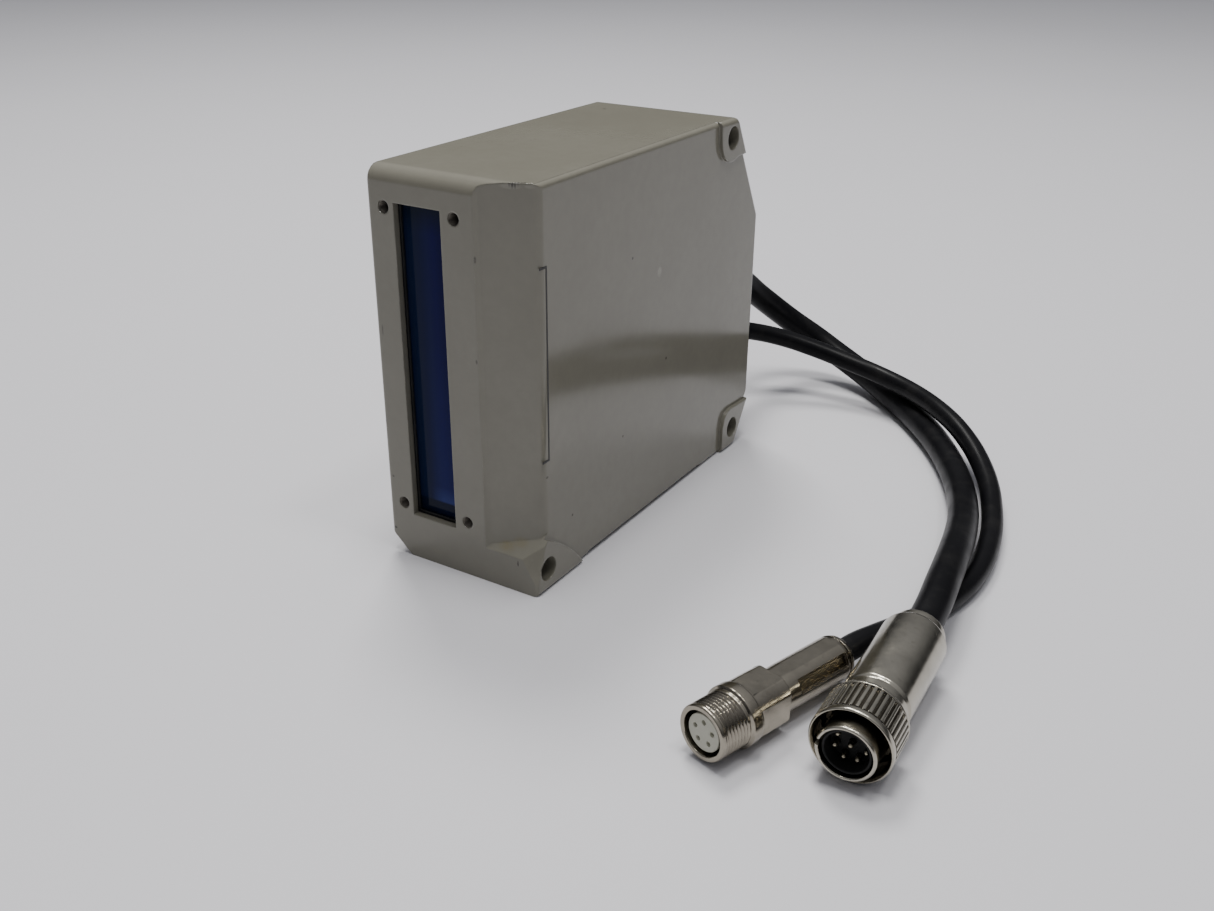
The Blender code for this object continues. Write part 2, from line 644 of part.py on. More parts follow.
# ---- sensor ---------------------------------------------------------------------------------------
def make_sensor():
    make_slit_hood()
    profile = [(0.0, 5.1), (2.6, 5.1), (3.0, 4.7), (3.0, 0.6), (3.4, 0.5), (3.4, 0.0), (0.0, 0.0)]
    diode = add_turned("photodiode", millimetres(profile), "steel", steps=24)
    point_along(diode, (OPTIC_X, SENSOR_Y - GAP, OPTIC_Z), (0, -1, 0))
    rear = SENSOR_Y + BOARD_T
    add_part("sensor_board", box("sensor_board", (OPTIC_X - 7 * MM, SENSOR_Y, OPTIC_Z - 10 * MM),
                                 (OPTIC_X + 7 * MM, rear, OPTIC_Z + 10 * MM)), "circuit_green")
    make_sensor_bracket(rear + GAP)


def make_slit_hood():
    half, front, rear = 5.0 * MM, 17.5 * MM, SENSOR_Y - GAP
    hood = add_part("slit_hood", box("slit_hood", (OPTIC_X - half, front, OPTIC_Z - half),
                                     (OPTIC_X + half, rear, OPTIC_Z + half)), "anodised")
    inner = 4.0 * MM
    cut(hood, "hood_inside", box("hood_inside", (OPTIC_X - inner, front + MM, OPTIC_Z - inner),
                                 (OPTIC_X + inner, rear + MM, OPTIC_Z + inner)))
    cut(hood, "hood_slit", box("hood_slit", (OPTIC_X - 0.6 * MM, front - MM, OPTIC_Z - 3 * MM),
                               (OPTIC_X + 0.6 * MM, front + 2 * MM, OPTIC_Z + 3 * MM)))


def make_sensor_bracket(front):
    floor_z = CAVITY_FLOOR * MM + GAP
    sheet = 1.5 * MM
    bracket = add_part("sensor_bracket", box("sensor_bracket", (OPTIC_X - 7 * MM, front, floor_z),
                                             (OPTIC_X + 7 * MM, front + sheet, 55 * MM)), "steel")
    join(bracket, "bracket_foot", box("bracket_foot", (OPTIC_X - 7 * MM, 15 * MM, floor_z),
                                      (OPTIC_X + 7 * MM, front + 0.5 * MM, floor_z + sheet)))
    for i, x in enumerate(BRACKET_SCREW_X):
        cut(bracket, f"foot_hole_{i}", rod(f"foot_hole_{i}", (x, BRACKET_SCREW_Y, floor_z - MM),
                                           (x, BRACKET_SCREW_Y, floor_z + 3 * MM), 1.3 * MM, sides=12))
        make_pan_screw(f"bracket_screw_{i + 1}", (x, BRACKET_SCREW_Y, floor_z + sheet + GAP), (0, 0, 1),
                       5.0 * MM)


# ---- main board -----------------------------------------------------------------------------------
def make_main_board():
    board = add_part("main_board", box("main_board", (BOARD_X, BOARD_Y[0], BOARD_Z[0]),
                                       (BOARD_X + BOARD_T, BOARD_Y[1], BOARD_Z[1])), "circuit_green")
    for i, (y, z) in enumerate(millimetres(BOARD_POSTS)):
        cut(board, f"board_hole_{i}", rod(f"board_hole_{i}", (BOARD_X - MM, y, z),
                                          (BOARD_X + 3 * MM, y, z), 1.3 * MM, sides=12))
        make_pan_screw(f"board_screw_{i + 1}", (BOARD_X - GAP, y, z), (-1, 0, 0), 4.6 * MM)
    chips = {"amplifier_chip": (-14.0, 52.0, 8.0, 6.0), "comparator_chip": (-14.0, 36.0, 8.0, 6.0),
             "logic_chip": (0.0, 40.0, 12.0, 12.0)}
    for name, (y, z, width, height) in chips.items():
        mount_on_board(name, y, z, width, height, 1.7, "black_plastic")
    mount_on_board("gain_trimmer", -12.0, 24.0, 6.0, 6.0, 3.6, "blue_plastic")
    mount_on_board("signal_header", 20.0, 34.0, 8.0, 8.0, 5.0, "white_plastic")
    mount_on_board("sync_header", 20.0, 19.5, 8.0, 7.0, 5.0, "white_plastic")


def mount_on_board(name, y, z, width, height, thickness, look):
    """A component on the board's near face; its corner and size are in millimetres."""
    top = BOARD_X - GAP
    part = add_part(name, box(name, (top - thickness * MM, y * MM, z * MM),
                              (top, (y + width) * MM, (z + height) * MM)), look)
    round_edges(part, 0.25 * MM, 1)


# ---- cables ---------------------------------------------------------------------------------------
def smooth_path(route, spacing):
    """Evenly spaced points on a centripetal Catmull-Rom curve through the route's points.

    One more point close to each end keeps the end faces square to the curve.
    """
    knots = [Vector(point) for point in route]
    knots = [knots[0] * 2 - knots[1]] + knots + [knots[-1] * 2 - knots[-2]]
    fine = []
    for i in range(1, len(knots) - 2):
        for step in range(FINE_STEPS):
            fine.append(blend_four(knots[i - 1:i + 3], step / FINE_STEPS))
    fine.append(knots[-2])
    lengths = [0.0]
    for before, after in zip(fine, fine[1:]):
        lengths.append(lengths[-1] + (after - before).length)
    count = max(2, round(lengths[-1] / spacing))
    path = []
    index = 0
    for i in range(count):
        goal = lengths[-1] * i / count
        while lengths[index + 1] < goal:
            index += 1
        share = (goal - lengths[index]) / (lengths[index + 1] - lengths[index])
        path.append(fine[index].lerp(fine[index + 1], share))
    return [path[0], fine[END_STEP]] + path[1:] + [fine[-1 - END_STEP], fine[-1]]


def blend_four(knots, share):
    """A point between the two middle knots of four."""
    a, b, c, d = knots
    t1 = (b - a).length ** 0.5
    t2 = t1 + (c - b).length ** 0.5
    t3 = t2 + (d - c).length ** 0.5
    t = t1 + (t2 - t1) * share
    ab = a * ((t1 - t) / t1) + b * (t / t1)
    bc = b * ((t2 - t) / (t2 - t1)) + c * ((t - t1) / (t2 - t1))
    cd = c * ((t3 - t) / (t3 - t2)) + d * ((t - t2) / (t3 - t2))
    abc = ab * ((t2 - t) / t2) + bc * (t / t2)
    bcd = bc * ((t3 - t) / (t3 - t1)) + cd * ((t - t1) / (t3 - t1))
    return abc * ((t2 - t) / (t2 - t1)) + bcd * ((t - t1) / (t2 - t1))


def add_tube(name, points, radius, look, sides=2):
    obj = bpy.data.objects.new(name, tube(name, points, radius, sides))
    PARTS.objects.link(obj)
    obj.data.materials.append(LOOKS[look])
    return obj


def make_cords():
    signal = smooth_path(millimetres(SIGNAL_ROUTE), SIGNAL_RINGS)
    add_tube("signal_cable", signal, SIGNAL_R, "cord", CORD_SIDES)
    sync = smooth_path(millimetres(SYNC_ROUTE), SYNC_RINGS)
    add_tube("sync_cable", sync, SYNC_R, "cord", CORD_SIDES)


def make_gland(name, z, profile):
    gland = add_turned(name, millimetres(profile), "rubber", steps=24)
    point_along(gland, (GLAND_X, 0.0, z), (0, 1, 0))


def make_glands():
    make_gland("signal_gland", SIGNAL_GLAND_Z,
               [(0.0, 56.4), (3.8, 56.4), (4.1, 56.1), (4.8, 50.8), (5.4, 50.4), (5.4, 48.9),
                (4.0, 48.9), (4.0, 45.3), (5.0, 45.3), (4.8, 43.6), (0.0, 43.6)])
    make_gland("sync_gland", SYNC_GLAND_Z,
               [(0.0, 55.4), (2.8, 55.4), (3.1, 55.1), (3.7, 50.6), (4.3, 50.2), (4.3, 48.9),
                (3.1, 48.9), (3.1, 45.3), (4.0, 45.3), (3.8, 43.6), (0.0, 43.6)])


def make_looms():
    signal = [(2.7, 43.3, 38.0), (3.2, 40.0, 38.0), (4.6, 35.6, 38.0), (5.8, 31.6, 38.0), (6.2, 28.3, 38.0)]
    sync = [(2.7, 43.3, 21.0), (3.2, 40.0, 21.0), (4.6, 35.6, 21.2), (5.8, 31.6, 21.4), (6.2, 28.3, 21.5)]
    sensor = [(0.3, 26.7, 50.0), (2.4, 26.9, 50.5), (4.5, 27.0, 50.7), (6.6, 26.9, 50.5), (8.7, 26.7, 50.0)]
    for name, route, radius in (("signal_loom", signal, 1.6), ("sync_loom", sync, 1.2),
                                ("sensor_loom", sensor, 0.7)):
        add_tube(name, smooth_path(millimetres(route), LOOM_RINGS), radius * MM, "cord", 1)


# ---- connectors -----------------------------------------------------------------------------------
def connector_axis(name, rim, heading, lift):
    """An empty at a connector's mating rim: local Z runs to its cable, local Y points down."""
    along = Vector((math.cos(heading) * math.cos(lift), math.sin(heading) * math.cos(lift),
                    math.sin(lift)))
    across = along.cross(Vector((0, 0, 1))).normalized()
    down = along.cross(across)
    empty = bpy.data.objects.new(name, None)
    CUTTERS.objects.link(empty)
    turn = Matrix((across, down, along)).transposed().to_4x4()
    empty.matrix_world = Matrix.Translation(rim) @ turn
    return empty


def knurl_outline(radius, depth, teeth):
    """A toothed circle with flat-topped ridges."""
    points = []
    for i in range(teeth):
        for share, reach in ((0.0, radius - depth), (0.28, radius), (0.6, radius)):
            angle = 2 * math.pi * (i + share) / teeth
            points.append((reach * math.cos(angle), reach * math.sin(angle)))
    return points


def make_coupling_nut(axis):
    bore, neck = 6.5 * MM, 5.6 * MM
    body = NUT_R - 0.35 * MM
    profile = [(body, NUT_LENGTH), (NUT_R, NUT_LENGTH - 0.3 * MM), (NUT_R, 7.9 * MM), (body, 7.7 * MM),
               (body, 1.5 * MM), (NUT_R, 1.3 * MM), (NUT_R, 0.3 * MM), (NUT_R - 0.3 * MM, 0.0),
               (bore, 0.0), (bore, 7.2 * MM), (neck, 7.3 * MM), (neck, NUT_LENGTH)]
    nut = add_turned("coupling_nut", profile, "nickel", axis, steps=48, closed=True)
    ring = [knurl_outline(NUT_R, 0.32 * MM, NUT_TEETH), arc((0, 0), bore + 0.2 * MM, 0, 352.5, 47)]
    join(nut, "knurl", plate("knurl", ring, 1.4 * MM, 7.8 * MM, "Z"), axis)


def make_plug_shell(axis):
    profile = [(4.5, 14.0), (4.5, 9.2), (5.2, 9.2), (5.2, 6.9), (6.1, 6.8), (6.1, 5.2), (5.25, 5.1),
               (5.25, -2.0), (5.0, -2.3), (4.6, -2.3), (4.6, 8.6), (3.6, 8.7), (3.6, 14.0)]
    shell = add_turned("plug_shell", millimetres(profile), "nickel", axis, steps=40, closed=True)
    key = box("keyway", (-6.0 * MM, -1.4 * MM, -3.0 * MM), (-4.0 * MM, -0.1 * MM, 1.0 * MM))
    cut(shell, "keyway", key, axis)


def make_plug_insert(axis):
    profile = [(0.0, 8.3), (4.3, 8.3), (4.3, -1.5), (3.8, -1.5), (3.8, 1.6), (0.0, 1.6)]
    insert = add_turned("plug_insert", millimetres(profile), "black_plastic", axis, steps=32)
    for i, (x, y) in enumerate(pin_places()):
        hole = rod(f"pin_hole_{i}", (x, y, 0.0), (x, y, 9.0 * MM), 0.8 * MM, sides=12)
        cut(insert, f"pin_hole_{i}", hole, axis)
        pin = [(0.0, 9.4), (0.5, 9.4), (0.5, 0.35), (0.3, 0.0), (0.0, 0.0)]
        part = add_turned(f"plug_pin_{i + 1}", millimetres(pin), "gold", axis, steps=12)
        part.location = (x, y, 0.0)


def pin_places():
    """One pin in the middle and five on a circle of seven places; local Y points down."""
    places = [(0.0, 0.0)]
    for i in range(5):
        angle = math.radians(146.0 + i * 360.0 / 7)
        places.append((PIN_CIRCLE_R * math.cos(angle), -PIN_CIRCLE_R * math.sin(angle)))
    return places


def make_backshell(axis):
    profile = [(5.2, 34.0), (5.85, 33.7), (6.2, 33.0), (6.2, 12.4), (5.85, 11.9), (5.85, 9.2),
               (5.55, 8.9), (5.5, 8.9), (5.5, 9.5), (5.0, 9.6), (5.0, 34.0)]
    add_turned("plug_backshell", millimetres(profile), "nickel", axis, steps=40, closed=True)
    ring = [(0.0, 36.7), (4.6, 36.7), (5.1, 36.2), (5.1, 34.3), (4.65, 34.3), (4.65, 28.0), (0.0, 28.0)]
    add_turned("plug_clamp", millimetres(ring), "nickel", axis, steps=32)


def make_plug():
    axis = connector_axis("plug_axis", PLUG_RIM, PLUG_TURN, PLUG_LIFT)
    make_coupling_nut(axis)
    make_plug_shell(axis)
    make_plug_insert(axis)
    make_backshell(axis)


def make_jack_shell(axis):
    """Threaded barrel, collar and a body with four wrench flats."""
    pitch, crest, root = 0.75 * MM, JACK_R, JACK_R - 0.38 * MM
    bore = 4.15 * MM
    profile = [(5.45 * MM, 17.0 * MM), (5.45 * MM, 9.2 * MM), (5.75 * MM, 8.9 * MM), (5.75 * MM, 6.9 * MM),
               (crest, 6.6 * MM)]
    for i in range(7):
        station = 6.3 * MM - i * pitch
        profile += [(root, station), (crest, station - pitch / 2)]
    profile += [(crest - 0.1 * MM, 0.2 * MM), (crest - 0.35 * MM, 0.0), (bore, 0.0), (bore, 9.6 * MM),
                (3.2 * MM, 9.7 * MM), (3.2 * MM, 17.0 * MM)]
    shell = add_turned("jack_shell", profile, "nickel", axis, steps=32, closed=True)
    for i in range(4):
        turn = Matrix.Rotation(math.radians(90 * i), 4, "Z")
        flat = box(f"flat_{i}", (4.7 * MM, -8 * MM, 9.6 * MM), (8 * MM, 8 * MM, 18 * MM))
        flat.transform(turn)
        cut(shell, f"flat_{i}", flat, axis)


def make_jack_insert(axis):
    profile = [(0.0, 9.2), (3.5, 9.2), (3.5, 0.7), (3.3, 0.5), (0.0, 0.5)]
    insert = add_turned("jack_insert", millimetres(profile), "white_plastic", axis, steps=32)
    for i in range(5):
        angle = math.radians(20.0 + 72.0 * i)
        x, y = SOCKET_CIRCLE_R * math.cos(angle), -SOCKET_CIRCLE_R * math.sin(angle)
        hole = rod(f"socket_{i}", (x, y, -MM), (x, y, 8.0 * MM), 0.62 * MM, sides=12)
        cut(insert, f"socket_{i}", hole, axis)
        contact = [(0.0, 7.6), (0.3, 7.6), (0.3, 1.8), (0.0, 1.8)]
        part = add_turned(f"jack_contact_{i + 1}", millimetres(contact), "gold", axis, steps=8)
        part.location = (x, y, 0.0)


def make_jack_sleeve(axis):
    end = JACK_LENGTH
    profile = [(0.0, end), (3.3 * MM, end), (4.05 * MM, end - 0.7 * MM), (4.3 * MM, end - 1.7 * MM),
               (4.3 * MM, 17.3 * MM), (0.0, 17.3 * MM)]
    sleeve = add_turned("jack_sleeve", profile, "nickel", axis, steps=32)
    for i in range(2):
        half_turn = Matrix.Rotation(math.pi * i, 4, "Z")
        flat = box(f"sleeve_flat_{i}", (-6 * MM, 4.0 * MM, 17 * MM), (6 * MM, 5 * MM, end + MM))
        flat.transform(half_turn)
        cut(sleeve, f"sleeve_flat_{i}", flat, axis)
        pocket = box(f"pocket_{i}", (3.6 * MM, -1.3 * MM, 20.5 * MM), (5 * MM, 1.3 * MM, end - 2.5 * MM))
        pocket.transform(half_turn @ Matrix.Rotation(POCKET_TILT, 4, "Z"))
        cut(sleeve, f"pocket_{i}", pocket, axis)


def make_jack():
    axis = connector_axis("jack_axis", JACK_RIM, JACK_TURN, JACK_LIFT)
    make_jack_shell(axis)
    make_jack_insert(axis)
    make_jack_sleeve(axis)


# ---- build ----------------------------------------------------------------------------------------
make_housing()
make_cover()
make_window()
make_lens()
make_lens_holder()
make_sensor()
make_main_board()
make_glands()
make_cords()
make_looms()
make_plug()
make_jack()
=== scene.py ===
"""The looks of the scanning optical head and its two plug-ended cables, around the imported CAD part.

Routes, profiles, box corners and wear marks are in millimetres, all else in metres unless it says
so; +Z is up and the window faces -Y.  A connector's own frame has its mating rim at 0, Z towards
its cable, X across and Y down.  A profile is a list of (radius, station) pairs, turned about its
frame's Z.
"""

import math

import bmesh
import bpy
import numpy as np
from mathutils import Matrix, Vector


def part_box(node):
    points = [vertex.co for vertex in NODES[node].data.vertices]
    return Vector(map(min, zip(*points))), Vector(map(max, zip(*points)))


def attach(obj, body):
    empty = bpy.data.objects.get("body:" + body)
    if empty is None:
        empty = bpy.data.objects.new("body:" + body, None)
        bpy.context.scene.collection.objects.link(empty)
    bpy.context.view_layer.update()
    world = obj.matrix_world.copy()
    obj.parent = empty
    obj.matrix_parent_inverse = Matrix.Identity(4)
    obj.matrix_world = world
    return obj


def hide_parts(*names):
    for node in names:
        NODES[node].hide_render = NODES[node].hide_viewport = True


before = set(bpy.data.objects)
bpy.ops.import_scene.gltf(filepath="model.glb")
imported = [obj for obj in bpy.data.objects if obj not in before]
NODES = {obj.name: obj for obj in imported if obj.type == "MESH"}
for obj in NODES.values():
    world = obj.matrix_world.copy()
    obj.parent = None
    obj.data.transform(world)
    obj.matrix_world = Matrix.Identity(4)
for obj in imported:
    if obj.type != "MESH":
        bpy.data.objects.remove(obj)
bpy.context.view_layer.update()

MM = 0.001
SAME_PLACE = 1e-6
WELD_DISTANCE = 1e-7
HOUSING_LOW, HOUSING_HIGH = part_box("main_housing")
BOSS_HEIGHT = 0.9 * MM
FRONT_Y = HOUSING_LOW.y
PANEL_X = HOUSING_HIGH.x - BOSS_HEIGHT

# ---- camera --------------------------------------------------------------------------------------
CAMERA_PLACE = (0.14382, -0.22395, 0.13543)
CAMERA_YAW = math.radians(31.695)
CAMERA_PITCH = math.radians(25.615)
CAMERA_ROLL = math.radians(0.399)
CAMERA_LENS, CAMERA_SENSOR = 36.565, 36.0
FLOOR_HALF_SIDE = 4.0

# ---- room ----------------------------------------------------------------------------------------
WARM_WHITE = (1.0, 0.99, 0.965)
COOL_WHITE = (0.94, 0.95, 1.0, 1.0)
# name, place, aim, side of the square, watts
LAMPS = [
    ("main_bank", (0.02, -0.03, 1.0), (0.0, 0.0, 0.0), 0.26, 5.4),
    ("back_bank", (-0.36, 0.36, 1.0), (0.03, 0.0, 0.0), 0.30, 7.0),
    ("right_lamp", (0.36, -0.02, 1.0), (0.03, 0.0, 0.0), 0.14, 1.6)]
# the room's glow grows between these two heights of a direction, where 1 is straight up
GLOW_HEIGHTS = (0.15, 0.9)
GLOW_STRENGTHS = (0.03, 0.55)

# ---- cables, routes and glands in millimetres ----------------------------------------------------
SIGNAL_ROUTE = [
    (2.7, 56.7, 38.0), (2.7, 60.2, 37.9), (2.6, 67.2, 36.3), (3.0, 74.4, 32.1), (4.9, 81.0, 26.7),
    (8.2, 86.8, 21.4), (12.2, 91.1, 16.8), (18.0, 94.2, 12.4), (24.9, 94.5, 8.7), (32.6, 92.5, 6.0),
    (40.0, 88.6, 4.3), (46.6, 83.3, 3.6), (52.6, 77.5, 3.55), (58.3, 71.2, 3.55),
    (63.7, 64.6, 3.55), (68.6, 57.7, 3.55), (73.0, 50.5, 3.6), (76.9, 43.0, 3.8), (80.3, 35.2, 4.3),
    (83.1, 27.3, 5.0), (85.4, 19.2, 5.9), (87.2, 10.9, 6.9), (88.7, 2.7, 7.9), (90.0, -5.6, 8.7),
    (91.1, -13.6, 9.1), (92.0, -20.6, 8.9), (92.46, -27.0, 8.45), (92.57, -30.88, 8.26)]
SYNC_ROUTE = [
    (2.7, 55.7, 21.0), (2.7, 58.7, 21.0), (4.3, 66.4, 20.4), (9.0, 73.2, 18.6), (15.8, 78.2, 16.4),
    (23.8, 80.8, 14.2), (32.2, 81.8, 12.2), (40.7, 81.4, 10.7), (48.9, 78.6, 10.0),
    (56.2, 74.0, 9.9), (63.0, 68.4, 9.8), (69.6, 62.6, 9.0), (75.6, 56.6, 7.3), (80.6, 49.9, 5.6),
    (84.7, 42.4, 4.3), (87.8, 34.4, 3.3), (90.3, 26.1, 2.7), (92.0, 17.6, 2.55), (93.0, 9.0, 2.5),
    (92.9, 0.3, 2.5), (91.5, -8.3, 2.55), (89.4, -16.7, 2.8), (87.0, -24.6, 3.7),
    (84.9, -31.2, 4.7), (82.98, -36.59, 5.25), (81.56, -41.38, 5.3)]
SIGNAL_D, SIGNAL_LENGTH = 6.8 * MM, 211.9 * MM
SYNC_D, SYNC_LENGTH = 4.8 * MM, 201.9 * MM
CORD_SPACING = 1.4 * MM
GLAND_X, SIGNAL_GLAND_Z, SYNC_GLAND_Z = 2.7, 38.0, 21.0
WALL_OUTSIDE, WALL_INSIDE, GLAND_INNER_END = 48.9, 45.3, 43.6
SIGNAL_GLAND = {"end": 56.4, "taper": (50.8, 56.1), "tip_r": 4.05, "root_r": 4.75, "flange_r": 5.4,
                "neck_r": 4.0, "collar_r": 5.0}
SYNC_GLAND = {"end": 55.4, "taper": (50.6, 55.1), "tip_r": 3.05, "root_r": 3.65, "flange_r": 4.3,
              "neck_r": 3.1, "collar_r": 4.0}

# ---- connectors: places in metres, sizes in millimetres ------------------------------------------
PLUG_RIM = (0.09383, -0.06785, 0.00736)
PLUG_TURN, PLUG_LIFT = math.radians(91.95), math.radians(1.4)
NUT_R, NUT_BORE_R, NUT_LENGTH = 7.3, 6.5, 8.6
NUT_RIBS, RIB_DEPTH, RIB_STATIONS = 40, 0.46, (1.45, 7.75)
SHELL_R, SHELL_BORE_R, SHELL_RIM, SHELL_END = 5.25, 4.6, -2.3, 14.0
CUP_R, CUP_WELL_R, CUP_FLOOR, CUP_END = 4.3, 3.8, 1.6, 8.3
PIN_R, PIN_END, PIN_CIRCLE_R = 0.5, 9.4, 2.8
PIN_PLACES, FIRST_PIN = 7, math.radians(146.0)
BACKSHELL_R, BACKSHELL_END = 6.2, 34.0
CLAMP_R, CLAMP_END = 5.1, 36.7
JACK_RIM = (0.07125, -0.07618, 0.00593)
JACK_TURN, JACK_LIFT = math.radians(73.5), math.radians(-1.0)
THREAD_R, THREAD_PITCH, THREAD_DEPTH, THREAD_STATIONS = 5.2, 0.75, 0.36, (0.7, 6.2)
JACK_R, JACK_BORE_R, JACK_END = 5.45, 4.15, 17.0
COLLAR_R, WRENCH_FLAT, WRENCH_START = 5.75, 4.72, 9.55
TUBE_R, TUBE_START, TUBE_END = 4.3, 17.3, 36.0
TUBE_FLAT, POCKET_FLAT, POCKET_STATIONS = 4.02, 3.62, (20.5, 33.5)
POCKET_TILT, POCKET_HALF_WIDTH = math.radians(-28), 1.3
FACE_R, FACE_STATION, FACE_END = 3.5, 0.5, 9.2
SOCKETS, SOCKET_R, SOCKET_CIRCLE_R = 5, 0.42, 2.02
FIRST_SOCKET = math.radians(20.0)

# ---- details of the casting, in millimetres ------------------------------------------------------
TAPPED_X, TAPPED_Z = (-15.1, 1.8), (12.5, 76.2)
COVER_SCREWS, SCREW_HEAD_R, SCREW_R, SCREW_END = 4, 2.6, 1.2, -9.4
BRACKET_Y, BRACKET_LOW, BRACKET_HIGH = -42.7, 28.6, 68.6
BRACKET_LINE, BRACKET_TICK = 0.46, 2.2
INK_DEPTH, INK_HEIGHT = 0.05, 0.03


# ---- mesh helpers --------------------------------------------------------------------------------
def shown(name, mesh, material, place=None):
    """A new object in the scene, with a material and its mesh moved to a place."""
    obj = bpy.data.objects.new(name, mesh)
    bpy.context.scene.collection.objects.link(obj)
    obj.data.materials.append(material)
    if place is not None:
        obj.data.transform(place)
    return obj


def smooth(obj, angle=32.0):
    """Smooth shading that keeps the edges sharper than an angle in degrees."""
    obj.data.shade_smooth()
    obj.data.set_sharp_from_angle(angle=math.radians(angle))


def soften(profile, radius=0.12, steps=3):
    """Rounds the corners of a profile, all but those on the axis."""
    points = []
    count = len(profile)
    for i, (r, s) in enumerate(profile):
        here = Vector((r, s))
        before = Vector(profile[i - 1])
        after = Vector(profile[(i + 1) % count])
        if r == 0.0 or (here - before).length < SAME_PLACE or (after - here).length < SAME_PLACE:
            points.append((r, s))
            continue
        reach = min(radius, 0.45 * (here - before).length, 0.45 * (after - here).length)
        start = here + (before - here).normalized() * reach
        end = here + (after - here).normalized() * reach
        for k in range(steps + 1):
            t = k / steps
            point = start * (1 - t) ** 2 + here * 2 * t * (1 - t) + end * t ** 2
            points.append((point.x, point.y))
    return points


def lathe(name, profile, sides=96, shape=None, closed=False):
    """A profile turned about Z; shape(angle, r, s) may change a point's radius."""
    rings = []
    verts, faces = [], []
    for r, s in profile:
        if r == 0.0:
            rings.append([len(verts)])
            verts.append((0.0, 0.0, s * MM))
            continue
        rings.append(list(range(len(verts), len(verts) + sides)))
        for k in range(sides):
            angle = 2 * math.pi * k / sides
            reach = shape(angle, r, s) if shape else r
            verts.append((reach * math.cos(angle) * MM, reach * math.sin(angle) * MM, s * MM))
    pairs = list(zip(rings, rings[1:]))
    if closed:
        pairs.append((rings[-1], rings[0]))
    for upper, lower in pairs:
        for k in range(sides):
            n = (k + 1) % sides
            if len(upper) == 1 and len(lower) > 1:
                faces.append((upper[0], lower[k], lower[n]))
            elif len(lower) == 1 and len(upper) > 1:
                faces.append((upper[k], lower[0], upper[n]))
            elif len(upper) > 1:
                faces.append((upper[k], lower[k], lower[n], upper[n]))
    mesh = bpy.data.meshes.new(name)
    mesh.from_pydata(verts, [], faces)
    made = bmesh.new()
    made.from_mesh(mesh)
    bmesh.ops.remove_doubles(made, verts=made.verts, dist=WELD_DISTANCE)
    bmesh.ops.recalc_face_normals(made, faces=made.faces)
    made.to_mesh(mesh)
    made.free()
    return mesh


def box_mesh(low, high):
    """A box between two corners in millimetres."""
    made = bmesh.new()
    bmesh.ops.create_cube(made, size=1.0)
    size = Vector(high) - Vector(low)
    bmesh.ops.scale(made, vec=size * MM, verts=made.verts)
    bmesh.ops.translate(made, vec=(Vector(low) + size / 2) * MM, verts=made.verts)
    mesh = bpy.data.meshes.new("box")
    made.to_mesh(mesh)
    made.free()
    return mesh


def combine(obj, operation, *meshes):
    """Cuts meshes out of an object, or joins them to it, and keeps the result as its mesh."""
    tools = []
    for mesh in meshes:
        tool = bpy.data.objects.new("tool", mesh)
        bpy.context.scene.collection.objects.link(tool)
        modifier = obj.modifiers.new("combine", "BOOLEAN")
        modifier.operation = operation
        modifier.solver = "EXACT"
        modifier.object = tool
        tools.append(tool)
    bake(obj)
    for tool in tools:
        bpy.data.objects.remove(tool)


def bake(obj):
    """Turns an object's modifiers into its mesh."""
    evaluated = obj.evaluated_get(bpy.context.evaluated_depsgraph_get())
    mesh = bpy.data.meshes.new_from_object(evaluated)
    obj.modifiers.clear()
    obj.data = mesh


def smooth_path(route, spacing, steps=20):
    """Evenly spaced points, in metres, on a centripetal Catmull-Rom curve through a route."""
    knots = [Vector(point) * MM for point in route]
    knots = [knots[0] * 2 - knots[1]] + knots + [knots[-1] * 2 - knots[-2]]
    fine = []
    for i in range(1, len(knots) - 2):
        fine += [blend_four(knots[i - 1:i + 3], step / steps) for step in range(steps)]
    fine.append(knots[-2])
    reach = [0.0]
    for before, after in zip(fine, fine[1:]):
        reach.append(reach[-1] + (after - before).length)
    count = round(reach[-1] / spacing)
    goals = np.linspace(0.0, reach[-1], count + 1)
    columns = [np.interp(goals, reach, [point[k] for point in fine]) for k in range(3)]
    return [Vector(point) for point in zip(*columns)]


def blend_four(knots, share):
    """A point between the two middle knots of four."""
    a, b, c, d = knots
    t1 = (b - a).length ** 0.5
    t2 = t1 + (c - b).length ** 0.5
    t3 = t2 + (d - c).length ** 0.5
    t = t1 + (t2 - t1) * share
    ab = a * ((t1 - t) / t1) + b * (t / t1)
    bc = b * ((t2 - t) / (t2 - t1)) + c * ((t - t1) / (t2 - t1))
    cd = c * ((t3 - t) / (t3 - t2)) + d * ((t - t2) / (t3 - t2))
    abc = ab * ((t2 - t) / t2) + bc * (t / t2)
    bcd = bc * ((t3 - t) / (t3 - t1)) + cd * ((t - t1) / (t3 - t1))
    return abc * ((t2 - t) / (t2 - t1)) + bcd * ((t - t1) / (t2 - t1))


def connector_frame(rim, heading, lift):
    """The frame of a connector that lies on the surface, from its rim's place and its axis."""
    along = Vector((math.cos(heading) * math.cos(lift), math.sin(heading) * math.cos(lift),
                    math.sin(lift)))
    across = along.cross(Vector((0, 0, 1))).normalized()
    down = along.cross(across)
    return Matrix.Translation(rim) @ Matrix((across, down, along)).transposed().to_4x4()


